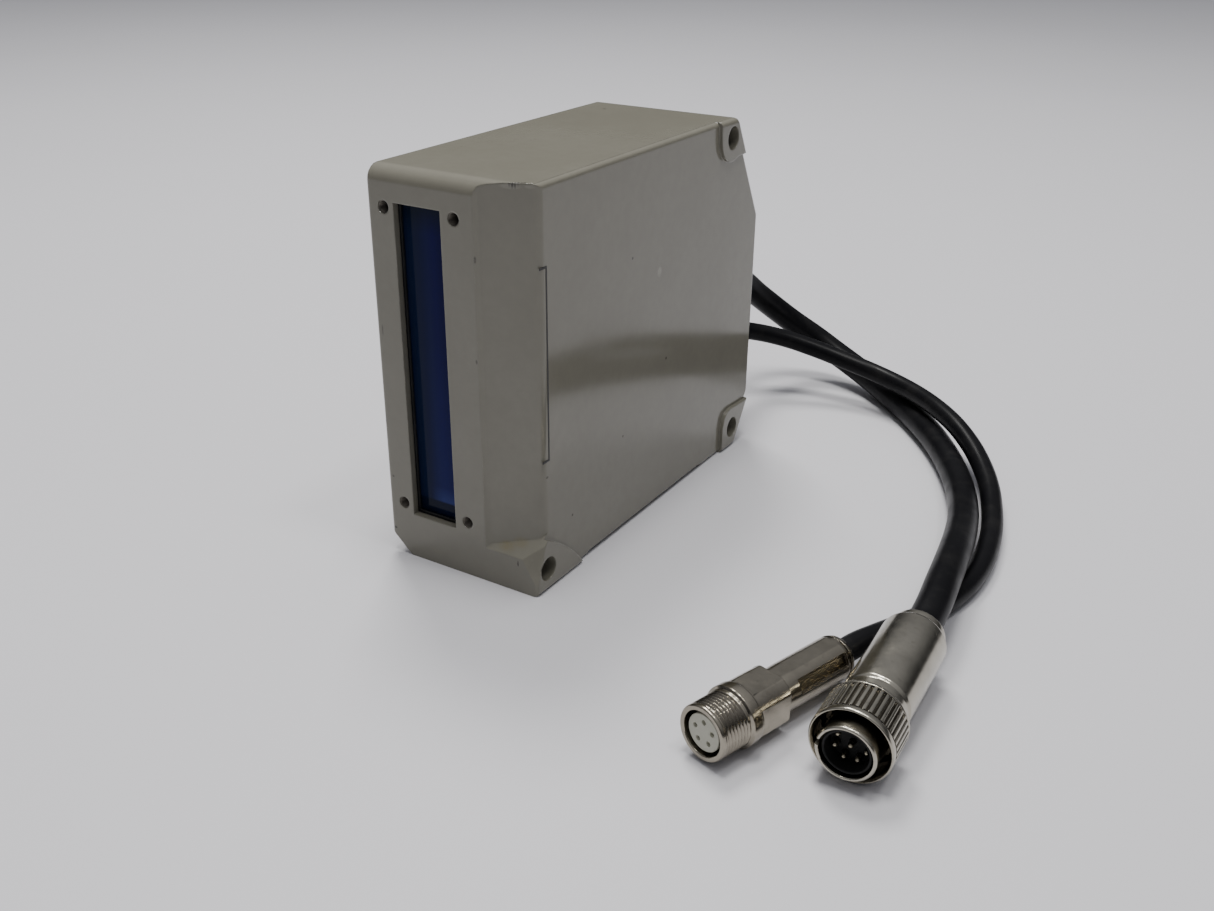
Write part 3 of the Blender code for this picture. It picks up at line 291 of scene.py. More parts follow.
# ---- material helpers ----------------------------------------------------------------------------
class Nodes:
    """A small wrapper that adds nodes to one material and joins their sockets."""

    def __init__(self, name, colour, roughness, metallic=0.0, **constants):
        self.material = bpy.data.materials.new(name)
        self.material.use_nodes = True
        self.tree = self.material.node_tree
        self.shader = self.tree.nodes["Principled BSDF"]
        self.shader.inputs["Base Color"].default_value = (*colour, 1.0)
        self.shader.inputs["Roughness"].default_value = roughness
        self.shader.inputs["Metallic"].default_value = metallic
        for socket, value in constants.items():
            self.shader.inputs[socket.replace("_", " ")].default_value = value
        self.place = self.add("ShaderNodeTexCoord").outputs["Object"]

    def add(self, kind, inputs=None, **settings):
        """A new node, with its sockets set or fed and its settings made."""
        node = self.tree.nodes.new(kind)
        for name, value in settings.items():
            setattr(node, name, value)
        for name, value in (inputs or {}).items():
            socket = node.inputs[name]
            if isinstance(value, bpy.types.NodeSocket):
                self.tree.links.new(value, socket)
            else:
                socket.default_value = value
        return node

    def join(self, source, target):
        """Feeds one of the shader's sockets."""
        self.tree.links.new(source, self.shader.inputs[target])

    def stretched(self, factors):
        """The place, scaled by three factors, for grain that runs one way."""
        return self.add("ShaderNodeMapping", {"Vector": self.place, "Scale": factors}).outputs[0]

    def noise(self, scale, detail=3.0, roughness=0.5, place=None):
        """Fractal noise from 0 to 1."""
        return self.add("ShaderNodeTexNoise", {"Vector": place or self.place, "Scale": scale,
                                               "Detail": detail, "Roughness": roughness}).outputs[0]

    def times(self, product, *factors):
        """The product of sockets and numbers."""
        for factor in factors:
            node = self.add("ShaderNodeMath", {0: product, 1: factor}, operation="MULTIPLY")
            product = node.outputs[0]
        return product

    def ramp(self, value, low, high, start=0.0, end=1.0):
        """A value's way from low to high, as a number from start to end."""
        return self.add("ShaderNodeMapRange", {"Value": value, "From Min": low, "From Max": high,
                                               "To Min": start, "To Max": end}).outputs[0]

    def mix(self, factor, a, b):
        """Colour a where the factor is 0 and colour b where it is 1."""
        node = self.add("ShaderNodeMix", {"Factor": factor}, data_type="RGBA")
        for socket, value in ((node.inputs[6], a), (node.inputs[7], b)):
            if isinstance(value, bpy.types.NodeSocket):
                self.tree.links.new(value, socket)
            else:
                socket.default_value = (*value, 1.0)
        return node.outputs[2]

    def spot(self, centre, size, stretch=(1, 1, 1), blur=0.5):
        """1 inside a soft spot round a place in metres, 0 outside it."""
        moved = self.add("ShaderNodeVectorMath", {0: self.place, 1: centre}, operation="SUBTRACT")
        scaled = self.add("ShaderNodeVectorMath", {0: moved.outputs[0], 1: stretch},
                          operation="MULTIPLY")
        reach = self.add("ShaderNodeVectorMath", {0: scaled.outputs[0]}, operation="LENGTH")
        return self.ramp(reach.outputs["Value"], size, size * blur)

    def bump(self, height, strength, distance, normal=None):
        """A normal bent by a height."""
        inputs = {"Height": height, "Strength": strength, "Distance": distance}
        if normal is not None:
            inputs["Normal"] = normal
        return self.add("ShaderNodeBump", inputs).outputs[0]

    def soft_edges(self, radius, samples=6):
        """The normal, rounded over at the edges."""
        return self.add("ShaderNodeBevel", {"Radius": radius}, samples=samples).outputs[0]


# ---- materials -----------------------------------------------------------------------------------
PAINT = (0.222, 0.208, 0.172)
PAINT_DEEP = (0.188, 0.179, 0.143)
PAINT_PALE = (0.210, 0.201, 0.163)
PAINT_MOTTLE = (0.170, 0.160, 0.129)
WORN_EDGE = (0.5, 0.48, 0.42)
SPECK = (0.02, 0.018, 0.016)
DARK_MARK = (0.018, 0.016, 0.013)
PALE_MARK = (0.55, 0.53, 0.48)
YELLOW_STAIN = (0.20, 0.165, 0.07)
ROUND_SPOT = (1, 1, 1)
SCRATCH_START, SCRATCH_END = (11.6, -47.2, 83.9), (15.5, -44.8, 83.9)


def painted_metal(name, marks=False):
    """Satin paint on a die casting: orange peel, faint mottling, specks and worn edges."""
    n = Nodes(name, PAINT, 0.36, Specular_IOR_Level=0.5)
    cloud = n.noise(28.0, 4.0, 0.55)
    mottle = n.noise(420.0, 3.0, 0.6)
    colour = n.mix(n.ramp(cloud, 0.35, 0.68), PAINT_DEEP, PAINT_PALE)
    colour = n.mix(n.ramp(mottle, 0.3, 0.72, 0.0, 0.35), colour, PAINT_MOTTLE)
    edge_normal = n.soft_edges(0.45 * MM)
    flat = n.add("ShaderNodeNewGeometry").outputs["Normal"]
    turned = n.add("ShaderNodeVectorMath", {0: edge_normal, 1: flat}, operation="DOT_PRODUCT")
    edge = n.ramp(turned.outputs["Value"], 0.95, 0.80)
    patchy = n.ramp(n.noise(190.0, 4.0, 0.65), 0.5, 0.66)
    colour = n.mix(n.times(edge, patchy, 0.55), colour, WORN_EDGE)
    cells = n.add("ShaderNodeTexVoronoi", {"Vector": n.place, "Scale": 95.0, "Randomness": 1.0})
    rare = n.ramp(n.noise(60.0, 1.0), 0.6, 0.62)
    specks = n.times(n.ramp(cells.outputs["Distance"], 0.045, 0.028), rare)
    colour = n.mix(n.times(specks, 0.85), colour, SPECK)
    broken = n.ramp(n.noise(900.0, 3.0, 0.7), 0.32, 0.55, 0.45, 1.0)
    if marks:
        for centre, size, stretch, amount, tint in wear_marks():
            spot = n.spot(centre, size, stretch)
            colour = n.mix(n.times(spot, broken, amount), colour, tint)
    n.join(colour, "Base Color")
    smudge = n.ramp(n.noise(45.0, 5.0, 0.65), 0.3, 0.75, 0.10, 0.19)
    n.join(smudge, "Roughness")
    peel = n.bump(n.noise(1100.0, 2.0, 0.5), 0.10, 0.05 * MM, edge_normal)
    n.join(n.bump(n.noise(95.0, 2.0, 0.4), 0.22, 0.08 * MM, peel), "Normal")
    return n.material


def wear_marks():
    """Places, sizes, stretches, strengths and tints of the casting's marks."""
    worn_rim = [((13.2, -46.2, 83.3), 1.6, (0.6, 0.9, 2.6), 0.14, PALE_MARK),
                ((16.9, -45.2, 83.5), 1.1, (0.8, 1.0, 2.2), 0.12, PALE_MARK)]
    scratch = [(place, 0.36, (1, 1, 0.3), 0.75, DARK_MARK)
               for place in np.linspace(SCRATCH_START, SCRATCH_END, 9)]
    ledge = [((10.8, -46.8, 8.8), 2.1, (0.8, 1.2, 1.3), 0.45, YELLOW_STAIN),
             ((13.5, -46.0, 10.0), 1.8, (0.8, 1.2, 1.0), 0.3, YELLOW_STAIN),
             ((16.6, -46.4, 7.6), 1.5, ROUND_SPOT, 0.4, PALE_MARK),
             ((14.4, -48.6, 6.7), 0.5, (2.2, 1, 0.6), 0.95, DARK_MARK)]
    front = [((6.4, -48.5, 69.2), 0.6, (2.4, 1, 0.7), 0.6, DARK_MARK),
             ((5.9, -48.5, 48.9), 0.5, (1.6, 1, 0.8), 0.6, DARK_MARK),
             ((-17.7, -48.6, 18.1), 0.35, ROUND_SPOT, 0.8, DARK_MARK),
             ((-18.1, -48.6, 5.6), 0.5, (1, 1, 1.4), 0.85, DARK_MARK),
             ((-17.6, -48.5, 50.9), 0.7, (3.0, 1, 0.5), 0.5, DARK_MARK),
             ((-18.5, -48.3, 31.0), 0.8, (3.0, 1, 0.4), 0.45, DARK_MARK)]
    panel = [((18.4, -11.3, 62.2), 0.38, ROUND_SPOT, 0.9, DARK_MARK),
             ((18.4, 4.2, 35.2), 0.42, ROUND_SPOT, 0.9, DARK_MARK),
             ((18.4, -14.3, 23.0), 0.36, ROUND_SPOT, 0.85, DARK_MARK),
             ((18.4, -34.4, 12.7), 0.36, ROUND_SPOT, 0.85, DARK_MARK),
             ((18.4, -43.4, 25.2), 0.5, (1, 1, 1.5), 0.5, DARK_MARK),
             ((18.4, 0.2, 56.4), 1.1, (1, 1, 0.8), 0.18, PALE_MARK)]
    marks = worn_rim + scratch + ledge + front + panel
    return [(Vector(place) * MM, size * MM, *rest) for place, size, *rest in marks]


# shares of the filter's width, and the colours there: painted shade near both walls of the slot,
# painted light from the depth behind the glass in between
FILTER_SHADE_AND_LIGHT_BANDS = [
    (0.0, (0.001, 0.001, 0.001)), (0.025, (0.001, 0.0012, 0.0015)), (0.05, (0.008, 0.016, 0.044)),
    (0.20, (0.007, 0.014, 0.044)), (0.34, (0.005, 0.010, 0.046)), (0.50, (0.0055, 0.009, 0.062)),
    (0.62, (0.0035, 0.005, 0.068)), (0.76, (0.002, 0.003, 0.055)), (1.0, (0.001, 0.002, 0.03))]
# painted light and shade on the glass: a painted glow low in the middle, a painted highlight along
# the ledge, painted shade at the bottom and at the top
FILTER_PAINTED_GLOW = (0.009, 0.016, 0.12)
FILTER_LEDGE_HIGHLIGHT = (0.035, 0.055, 0.21)
FILTER_FOOT_SHADE = (0.003, 0.007, 0.02)
FILTER_CROWN_SHADE = (0.004, 0.009, 0.016)
FILTER_STREAK = (0.012, 0.02, 0.08)


def blue_filter():
    """A dark blue band-pass filter with painted light and shade: the depth behind it is painted as
    bands of lighter blue, with painted shade at the walls, the top and the bottom of the slot, and a
    painted glow and a painted highlight low down.
    """
    n = Nodes("filter_blue", (0.004, 0.007, 0.075), 0.06, Specular_IOR_Level=0.08)
    low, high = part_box("window_glass")
    split = n.add("ShaderNodeSeparateXYZ", {"Vector": n.place})
    across = n.ramp(split.outputs["X"], low.x, high.x)
    height = split.outputs["Z"]
    bands = n.add("ShaderNodeValToRGB", {"Fac": across})
    stops = bands.color_ramp.elements
    while len(stops) < len(FILTER_SHADE_AND_LIGHT_BANDS):
        stops.new(0.5)
    for stop, (share, colour) in zip(stops, FILTER_SHADE_AND_LIGHT_BANDS):
        stop.position = share
        stop.color = (*colour, 1.0)
    # painted glow: lighter blue low in the middle of the glass
    glow = n.ramp(height, low.z + 40 * MM, low.z + 8 * MM)
    middle = n.times(n.ramp(across, 0.3, 0.55), n.ramp(across, 0.97, 0.8))
    colour = n.mix(n.times(glow, middle, 0.45), bands.outputs["Color"], FILTER_PAINTED_GLOW)
    # painted highlight: a lighter band along the ledge near the bottom of the glass
    ledge = n.times(n.ramp(height, low.z + 8.2 * MM, low.z + 5.2 * MM),
                    n.ramp(height, low.z + 4.4 * MM, low.z + 4.7 * MM))
    colour = n.mix(n.times(ledge, middle, 0.6), colour, FILTER_LEDGE_HIGHLIGHT)
    # painted shade: darker at the bottom and at the top of the glass, inside the slot
    painted_foot_shade = n.ramp(height, low.z + 4.9 * MM, low.z + 4.4 * MM)
    colour = n.mix(n.times(painted_foot_shade, 0.9), colour, FILTER_FOOT_SHADE)
    painted_crown_shade = n.ramp(height, high.z - 7.0 * MM, high.z - 1.5 * MM)
    colour = n.mix(n.times(painted_crown_shade, 0.85), colour, FILTER_CROWN_SHADE)
    streak = n.ramp(n.noise(260.0, 3.0, 0.6, n.stretched((1.0, 1.0, 0.03))), 0.5, 0.75)
    colour = n.mix(n.times(streak, 0.25), colour, FILTER_STREAK)
    n.join(colour, "Base Color")
    n.join(n.ramp(n.noise(150.0, 4.0), 0.35, 0.75, 0.04, 0.14), "Roughness")
    return n.material


METAL_GRIME = (0.16, 0.14, 0.11)
# the colour of the painted shade in crevices
METAL_CREVICE_SHADE = (0.085, 0.070, 0.056)


def plated(name, grain, tint, roughness):
    """Plated metal with fine marks along its grain, smears, dull patches and painted shade in its
    crevices.
    """
    n = Nodes(name, tint, roughness, 1.0)
    tarnish = n.ramp(n.noise(180.0, 4.0, 0.6), 0.35, 0.75)
    colour = n.mix(tarnish, tint, tuple(value * 0.78 for value in tint))
    dirt = n.ramp(n.noise(700.0, 4.0, 0.7), 0.58, 0.72)
    colour = n.mix(n.times(dirt, 0.35), colour, METAL_GRIME)
    # painted shade: the colour darkens towards the crevice colour where other surfaces are near, in
    # grooves, knurls and bores
    painted_crevice_shade = n.add("ShaderNodeAmbientOcclusion", {"Distance": 1.6 * MM}, samples=6).outputs["AO"]
    n.join(n.mix(n.ramp(painted_crevice_shade, 0.30, 0.82), METAL_CREVICE_SHADE, colour), "Base Color")
    dull = n.ramp(n.noise(320.0, 5.0, 0.7), 0.25, 0.8, roughness * 0.75, roughness * 1.7)
    n.join(dull, "Roughness")
    lines = n.noise(2600.0, 3.0, 0.6, n.stretched(grain))
    n.join(n.bump(lines, 0.10, 0.02 * MM, n.soft_edges(0.08 * MM, 4)), "Normal")
    return n.material


def moulded(name, colour, roughness, grain=900.0, height=0.12, variation=0.25, shine=0.5):
    """Moulded plastic or rubber with a fine grain, dust and slight variation of its colour."""
    n = Nodes(name, colour, roughness, Specular_IOR_Level=shine)
    pale = tuple(value * (1 + variation) + 0.01 for value in colour)
    deep = tuple(value * (1 - variation) for value in colour)
    n.join(n.mix(n.ramp(n.noise(120.0, 4.0, 0.6), 0.3, 0.7), deep, pale), "Base Color")
    n.join(n.ramp(n.noise(260.0, 3.0), 0.3, 0.7, roughness * 0.8, roughness * 1.25), "Roughness")
    edge_normal = n.soft_edges(0.1 * MM, 4)
    n.join(n.bump(n.noise(grain, 3.0, 0.6), height, 0.06 * MM, edge_normal), "Normal")
    return n.material


def cable_jacket():
    """Black PVC: satin, with faint scuffs, dust and a barely uneven surface."""
    n = Nodes("cable_jacket", (0.006, 0.006, 0.007), 0.35, Specular_IOR_Level=0.09)
    scuff = n.ramp(n.noise(150.0, 5.0, 0.7), 0.5, 0.75)
    cloud = n.ramp(n.noise(60.0, 3.0), 0.3, 0.7)
    colour = n.mix(cloud, (0.004, 0.004, 0.005), (0.008, 0.008, 0.009))
    n.join(n.mix(n.times(scuff, 0.5), colour, (0.022, 0.021, 0.020)), "Base Color")
    n.join(n.ramp(n.noise(210.0, 4.0, 0.6), 0.3, 0.75, 0.28, 0.42), "Roughness")
    fine = n.bump(n.noise(1500.0, 2.0), 0.10, 0.03 * MM)
    n.join(n.bump(n.noise(120.0, 2.0), 0.25, 0.10 * MM, fine), "Normal")
    return n.material


def screw_steel():
    """Plated steel with slightly varied tone and fine vertical marks."""
    n = Nodes("screw_steel", (0.42, 0.42, 0.43), 0.3, 1.0)
    patches = n.ramp(n.noise(300.0, 4.0), 0.35, 0.7)
    n.join(n.mix(patches, (0.34, 0.34, 0.35), (0.5, 0.5, 0.5)), "Base Color")
    n.join(n.ramp(n.noise(420.0, 4.0), 0.3, 0.7, 0.22, 0.42), "Roughness")
    n.join(n.bump(n.noise(1800.0, 3.0, 0.6, n.stretched((1, 1, 0.2))), 0.12, 0.02 * MM), "Normal")
    return n.material


def clear_glass():
    """The lens's glass, with faint smears."""
    n = Nodes("clear_glass", (0.9, 0.95, 0.96), 0.02, Transmission_Weight=1.0, IOR=1.5)
    n.join(n.ramp(n.noise(90.0, 4.0), 0.4, 0.8, 0.01, 0.08), "Roughness")
    return n.material


def circuit_board():
    """Solder mask over copper tracks: a fine grid of paler runs in the green."""
    n = Nodes("circuit_board", (0.015, 0.11, 0.05), 0.35)
    tracks = n.add("ShaderNodeTexBrick", {"Vector": n.place, "Scale": 260.0, "Mortar Size": 0.06})
    run = n.ramp(tracks.outputs["Fac"], 0.2, 0.8)
    n.join(n.mix(n.times(run, 0.6), (0.012, 0.09, 0.04), (0.04, 0.2, 0.09)), "Base Color")
    n.join(n.bump(run, 0.2, 0.04 * MM), "Normal")
    return n.material


def printed_ink():
    """Black screen print, a little rubbed."""
    n = Nodes("printed_ink", (0.018, 0.017, 0.016), 0.5)
    worn = n.times(n.ramp(n.noise(500.0, 4.0, 0.7), 0.55, 0.8), 0.35)
    n.join(n.mix(worn, (0.016, 0.015, 0.014), (0.12, 0.115, 0.10)), "Base Color")
    return n.material


def floor_surface():
    """A pale backdrop sheet with a faint mottling."""
    n = Nodes("floor_surface", (0.66, 0.655, 0.685), 0.6)
    cloud = n.ramp(n.noise(3.0, 4.0, 0.5), 0.3, 0.7)
    colour = n.mix(cloud, (0.655, 0.650, 0.680), (0.675, 0.670, 0.700))
    n.join(colour, "Base Color")
    n.join(n.bump(n.noise(350.0, 3.0), 0.05, 0.2 * MM), "Normal")
    return n.material


# a small factor draws the grain out along its axis; the connectors lie nearly along Y
LENGTHWISE_GRAIN = (1.0, 0.15, 1.0)
PIN_GRAIN = (1.0, 0.3, 1.0)
EVEN_GRAIN = (1.0, 1.0, 1.0)
PAINTED = painted_metal("painted_casting", marks=True)
PAINTED_COVER = painted_metal("painted_cover")
FILTER = blue_filter()
NICKEL = plated("nickel_plate", LENGTHWISE_GRAIN, (0.48, 0.452, 0.382), 0.17)
# a darker copy of the plating for the jack: painted shade standing in for the darker reflections on
# it
NICKEL_PAINTED_SHADE = plated("nickel_painted_shade", LENGTHWISE_GRAIN, (0.38, 0.348, 0.285), 0.15)
RUBBER = moulded("black_rubber", (0.012, 0.012, 0.012), 0.55)
BLACK_PLASTIC = moulded("black_plastic", (0.006, 0.006, 0.006), 0.5, shine=0.2)
WHITE_PLASTIC = moulded("white_plastic", (0.50, 0.495, 0.405), 0.38, variation=0.08)
BLUE_PLASTIC = moulded("blue_plastic", (0.03, 0.08, 0.32), 0.4)
ANODISED = moulded("black_anodised", (0.018, 0.018, 0.02), 0.42, grain=2200.0)
JACKET = cable_jacket()
STEEL = screw_steel()
THREAD_METAL = plated("thread_metal", EVEN_GRAIN, (0.16, 0.15, 0.13), 0.35)
GOLD = plated("pin_plating", PIN_GRAIN, (0.42, 0.38, 0.29), 0.22)
GLASS = clear_glass()
BOARD = circuit_board()
INK = printed_ink()

LOOKS = {
    "window_glass": FILTER,
    "window_gasket": RUBBER, "cover_gasket": RUBBER, "window_retainer": ANODISED,
    "receiver_lens": GLASS, "lens_holder": ANODISED, "slit_hood": ANODISED, "photodiode": STEEL,
    "sensor_board": BOARD, "main_board": BOARD, "sensor_bracket": STEEL,
    "amplifier_chip": BLACK_PLASTIC, "comparator_chip": BLACK_PLASTIC, "logic_chip": BLACK_PLASTIC,
    "gain_trimmer": BLUE_PLASTIC, "signal_header": WHITE_PLASTIC, "sync_header": WHITE_PLASTIC,
    "signal_loom": JACKET, "sync_loom": JACKET, "sensor_loom": JACKET}
for name, obj in NODES.items():
    obj.data.materials.clear()
    obj.data.materials.append(LOOKS.get(name, GOLD if "contact" in name else STEEL))


# ---- camera, floor and light ---------------------------------------------------------------------
def make_camera():
    """The camera, from its place and its three angles."""
    forward = Vector((-math.sin(CAMERA_YAW) * math.cos(CAMERA_PITCH),
                      math.cos(CAMERA_YAW) * math.cos(CAMERA_PITCH), -math.sin(CAMERA_PITCH)))
    level = Vector((math.cos(CAMERA_YAW), math.sin(CAMERA_YAW), 0.0))
    upright = level.cross(forward)
    right = level * math.cos(CAMERA_ROLL) + upright * math.sin(CAMERA_ROLL)
    up = upright * math.cos(CAMERA_ROLL) - level * math.sin(CAMERA_ROLL)
    data = bpy.data.cameras.new("camera")
    data.lens = CAMERA_LENS
    data.sensor_width = CAMERA_SENSOR
    data.clip_start = 0.01
    camera = bpy.data.objects.new("camera", data)
    bpy.context.scene.collection.objects.link(camera)
    turned = Matrix((right, up, -forward)).transposed().to_4x4()
    camera.matrix_world = Matrix.Translation(CAMERA_PLACE) @ turned
    bpy.context.scene.camera = camera


def make_floor():
    """A wide flat sheet under the part."""
    made = bmesh.new()
    bmesh.ops.create_grid(made, x_segments=2, y_segments=2, size=FLOOR_HALF_SIDE)
    mesh = bpy.data.meshes.new("floor")
    made.to_mesh(mesh)
    made.free()
    floor = shown("floor", mesh, floor_surface())


def area_light(name, place, target, side, watts):
    """A square lamp aimed at a place."""
    data = bpy.data.lights.new(name, "AREA")
    data.shape = "RECTANGLE"
    data.size = side
    data.size_y = side
    data.energy = watts
    data.color = WARM_WHITE
    light = bpy.data.objects.new(name, data)
    bpy.context.scene.collection.objects.link(light)
    light.location = place
    light.rotation_mode = "QUATERNION"
    light.rotation_quaternion = (Vector(target) - Vector(place)).to_track_quat("-Z", "Y")


def make_light():
    """Two soft overhead banks and a small lamp, in a room that is dim near the horizon."""
    world = bpy.data.worlds.new("room")
    bpy.context.scene.world = world
    world.use_nodes = True
    nodes, links = world.node_tree.nodes, world.node_tree.links
    heading = nodes.new("ShaderNodeTexCoord")
    split = nodes.new("ShaderNodeSeparateXYZ")
    rise = nodes.new("ShaderNodeMapRange")
    rise.inputs["From Min"].default_value, rise.inputs["From Max"].default_value = GLOW_HEIGHTS
    rise.inputs["To Min"].default_value, rise.inputs["To Max"].default_value = GLOW_STRENGTHS
    background = nodes["Background"]
    background.inputs["Color"].default_value = COOL_WHITE
    links.new(heading.outputs["Generated"], split.inputs["Vector"])
    links.new(split.outputs["Z"], rise.inputs["Value"])
    links.new(rise.outputs["Result"], background.inputs["Strength"])
    for lamp in LAMPS:
        area_light(*lamp)


make_camera()
make_floor()
make_light()


# ---- cables and glands ---------------------------------------------------------------------------
def make_cord(name, route, diameter, node):
    """A cable along a route, in place of its CAD tube."""
    curve = bpy.data.curves.new(name, "CURVE")
    curve.dimensions = "3D"
    curve.bevel_depth = diameter / 2
    curve.bevel_resolution = 8
    curve.use_fill_caps = True
    points = smooth_path(route, CORD_SPACING)
    spline = curve.splines.new("POLY")
    spline.points.add(len(points) - 1)
    for point, place in zip(spline.points, points):
        point.co = (*place, 1.0)
    spline.use_smooth = True
    cord = shown(name, curve, JACKET)
    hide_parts(node)
    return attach(cord, "head")


def settle(piece, node, body="head", angle=32.0):
    """Shades a piece, puts it in a CAD node's place and lets it ride on a body."""
    smooth(piece, angle)
    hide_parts(node)
    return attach(piece, body)


def make_gland(name, node, height, sizes):
    """A rubber strain relief: a taper, a flange outside the wall and a collar inside it."""
    root, tip = sizes["taper"]
    outline = soften([(0.0, sizes["end"]), (sizes["tip_r"] - 0.2, sizes["end"])], 0.1)
    for s in np.arange(tip, root, -0.1):
        radius = np.interp(s, (root, tip), (sizes["root_r"], sizes["tip_r"]))
        outline.append((float(radius), float(s)))
    outline += soften([(sizes["root_r"], root), (sizes["flange_r"], root - 0.2),
                       (sizes["flange_r"], WALL_OUTSIDE), (sizes["neck_r"], WALL_OUTSIDE)], 0.15)
    outline += [(sizes["neck_r"], WALL_INSIDE), (sizes["collar_r"], WALL_INSIDE),
                (sizes["collar_r"] - 0.2, GLAND_INNER_END), (0.0, GLAND_INNER_END)]
    backwards = Matrix.Rotation(-math.pi / 2, 4, "X")
    place = Matrix.Translation((GLAND_X * MM, 0.0, height * MM)) @ backwards
    return settle(shown(name, lathe(name, outline, 64), RUBBER, place), node)


SIGNAL_CORD = make_cord("signal_cord", SIGNAL_ROUTE, SIGNAL_D, "signal_cable")
SYNC_CORD = make_cord("sync_cord", SYNC_ROUTE, SYNC_D, "sync_cable")
SIGNAL_BOOT = make_gland("signal_boot", "signal_gland", SIGNAL_GLAND_Z, SIGNAL_GLAND)
SYNC_BOOT = make_gland("sync_boot", "sync_gland", SYNC_GLAND_Z, SYNC_GLAND)


# ---- plug ----------------------------------------------------------------------------------------
PLUG = connector_frame(PLUG_RIM, PLUG_TURN, PLUG_LIFT)
JACK = connector_frame(JACK_RIM, JACK_TURN, JACK_LIFT)


def moved(x, y):
    """A shift across a connector's frame, in millimetres."""
    return Matrix.Translation((x * MM, y * MM, 0.0))


def make_nut():
    """The coupling nut: a rolled rim, straight knurling and a smooth band at its back."""
    groove_r = NUT_R - 0.3
    start, end = RIB_STATIONS

    def knurled(angle, r, s):
        if r < groove_r or not start < s < end:
            return r
        wave = 0.5 + 0.5 * math.cos(angle * NUT_RIBS)
        return r - RIB_DEPTH * (1.0 - min(1.0, wave * 1.8))

    outline = soften([(6.95, NUT_LENGTH), (7.25, 8.45), (NUT_R, 7.95), (6.98, 7.8)])
    outline += [(7.28, 7.7), (NUT_R, 7.5), (NUT_R, 5.6), (NUT_R, 3.5), (NUT_R, 1.7), (7.28, 1.5)]
    outline += soften([(6.98, 1.4), (NUT_R, 1.25), (NUT_R, 0.3), (7.15, 0.05), (6.95, 0.0),
                       (6.6, 0.55), (NUT_BORE_R, 0.8), (NUT_BORE_R, 7.2), (5.6, 7.3),
                       (5.6, NUT_LENGTH)])
    mesh = lathe("knurled_nut", outline, 480, knurled, closed=True)
    return settle(shown("knurled_nut", mesh, NICKEL, PLUG), "coupling_nut", "nut", 40.0)


def make_plug_shell():
    """The shell that the nut turns on, with a keyway in its rim."""
    outline = soften([(4.5, SHELL_END), (4.5, 9.2), (5.2, 9.2), (5.2, 6.9), (6.1, 6.8), (6.1, 5.2),
                      (SHELL_R, 5.1), (SHELL_R, -2.0), (5.05, SHELL_RIM), (4.75, SHELL_RIM),
                      (SHELL_BORE_R, -2.15), (SHELL_BORE_R, 8.6), (3.6, 8.7), (3.6, SHELL_END)], 0.1)
    shell = shown("plug_barrel", lathe("plug_barrel", outline, 96, closed=True), NICKEL)
    combine(shell, "DIFFERENCE", box_mesh((-6.0, -1.4, -3.0), (-4.0, -0.1, 1.0)))
    shell.data.transform(PLUG)
    return settle(shell, "plug_shell")


def make_plug_cup():
    """The black insert: a cup with a hole round each pin."""
    outline = soften([(0.0, CUP_END), (CUP_R, CUP_END), (CUP_R, -1.5), (4.15, -1.6), (3.9, -1.6),
                      (CUP_WELL_R, -1.45), (CUP_WELL_R, CUP_FLOOR), (0.0, CUP_FLOOR)], 0.08)
    cup = shown("plug_cup", lathe("plug_cup", outline, 72), BLACK_PLASTIC)
    for x, y in pin_places():
        hole = lathe("hole", [(0.0, 9.0), (0.62, 9.0), (0.62, 0.5), (0.0, 0.5)], 20)
        hole.transform(moved(x, y))
        combine(cup, "DIFFERENCE", hole)
    cup.data.transform(PLUG)
    return settle(cup, "plug_insert")


def pin_places():
    """One pin in the middle, and one on all but two of the places on a circle."""
    places = [(0.0, 0.0)]
    for i in range(PIN_PLACES - 2):
        angle = FIRST_PIN + i * 2 * math.pi / PIN_PLACES
        places.append((PIN_CIRCLE_R * math.cos(angle), -PIN_CIRCLE_R * math.sin(angle)))
    return places


def make_pins():
    """Round-tipped contact pins."""
    outline = [(0.0, PIN_END), (PIN_R, PIN_END), (PIN_R, 0.5), (0.44, 0.25), (0.3, 0.07), (0.14, 0.0),
               (0.0, 0.0)]
    pins = []
    for i, (x, y) in enumerate(pin_places(), 1):
        pin = shown(f"pin_{i}", lathe("pin", outline, 24), GOLD, PLUG @ moved(x, y))
        pins.append(settle(pin, f"plug_pin_{i}", angle=50.0))
    return pins


def make_backshell():
    """The plug's long sleeve, necked down behind the nut."""
    outline = soften([(5.2, BACKSHELL_END), (5.85, 33.8), (BACKSHELL_R, 33.1), (BACKSHELL_R, 12.4),
                      (5.85, 11.9), (5.85, 9.2), (5.55, 8.9), (5.5, 8.9), (5.5, 9.5), (5.0, 9.6),
                      (5.0, BACKSHELL_END)], 0.2)
    mesh = lathe("plug_sleeve", outline, 96, closed=True)
    return settle(shown("plug_sleeve", mesh, NICKEL, PLUG), "plug_backshell")


def make_clamp_ring():
    """The ring that grips the cable behind the sleeve."""
    outline = soften([(0.0, CLAMP_END), (4.6, CLAMP_END), (CLAMP_R, 36.2), (CLAMP_R, 34.3),
                      (4.65, 34.3), (4.65, 28.0), (0.0, 28.0)], 0.15)
    ring = shown("clamp_ring", lathe("clamp_ring", outline, 72), NICKEL, PLUG)
    return settle(ring, "plug_clamp")


# ---- jack ----------------------------------------------------------------------------------------
def flat_cut(angle, r, distance, heading, half_width=9.0):
    """The radius left at an angle where a flat lies at a distance from the axis."""
    turn = angle - heading
    if math.cos(turn) <= 0.0 or abs(r * math.sin(turn)) > half_width:
        return r
    return min(r, distance / math.cos(turn))


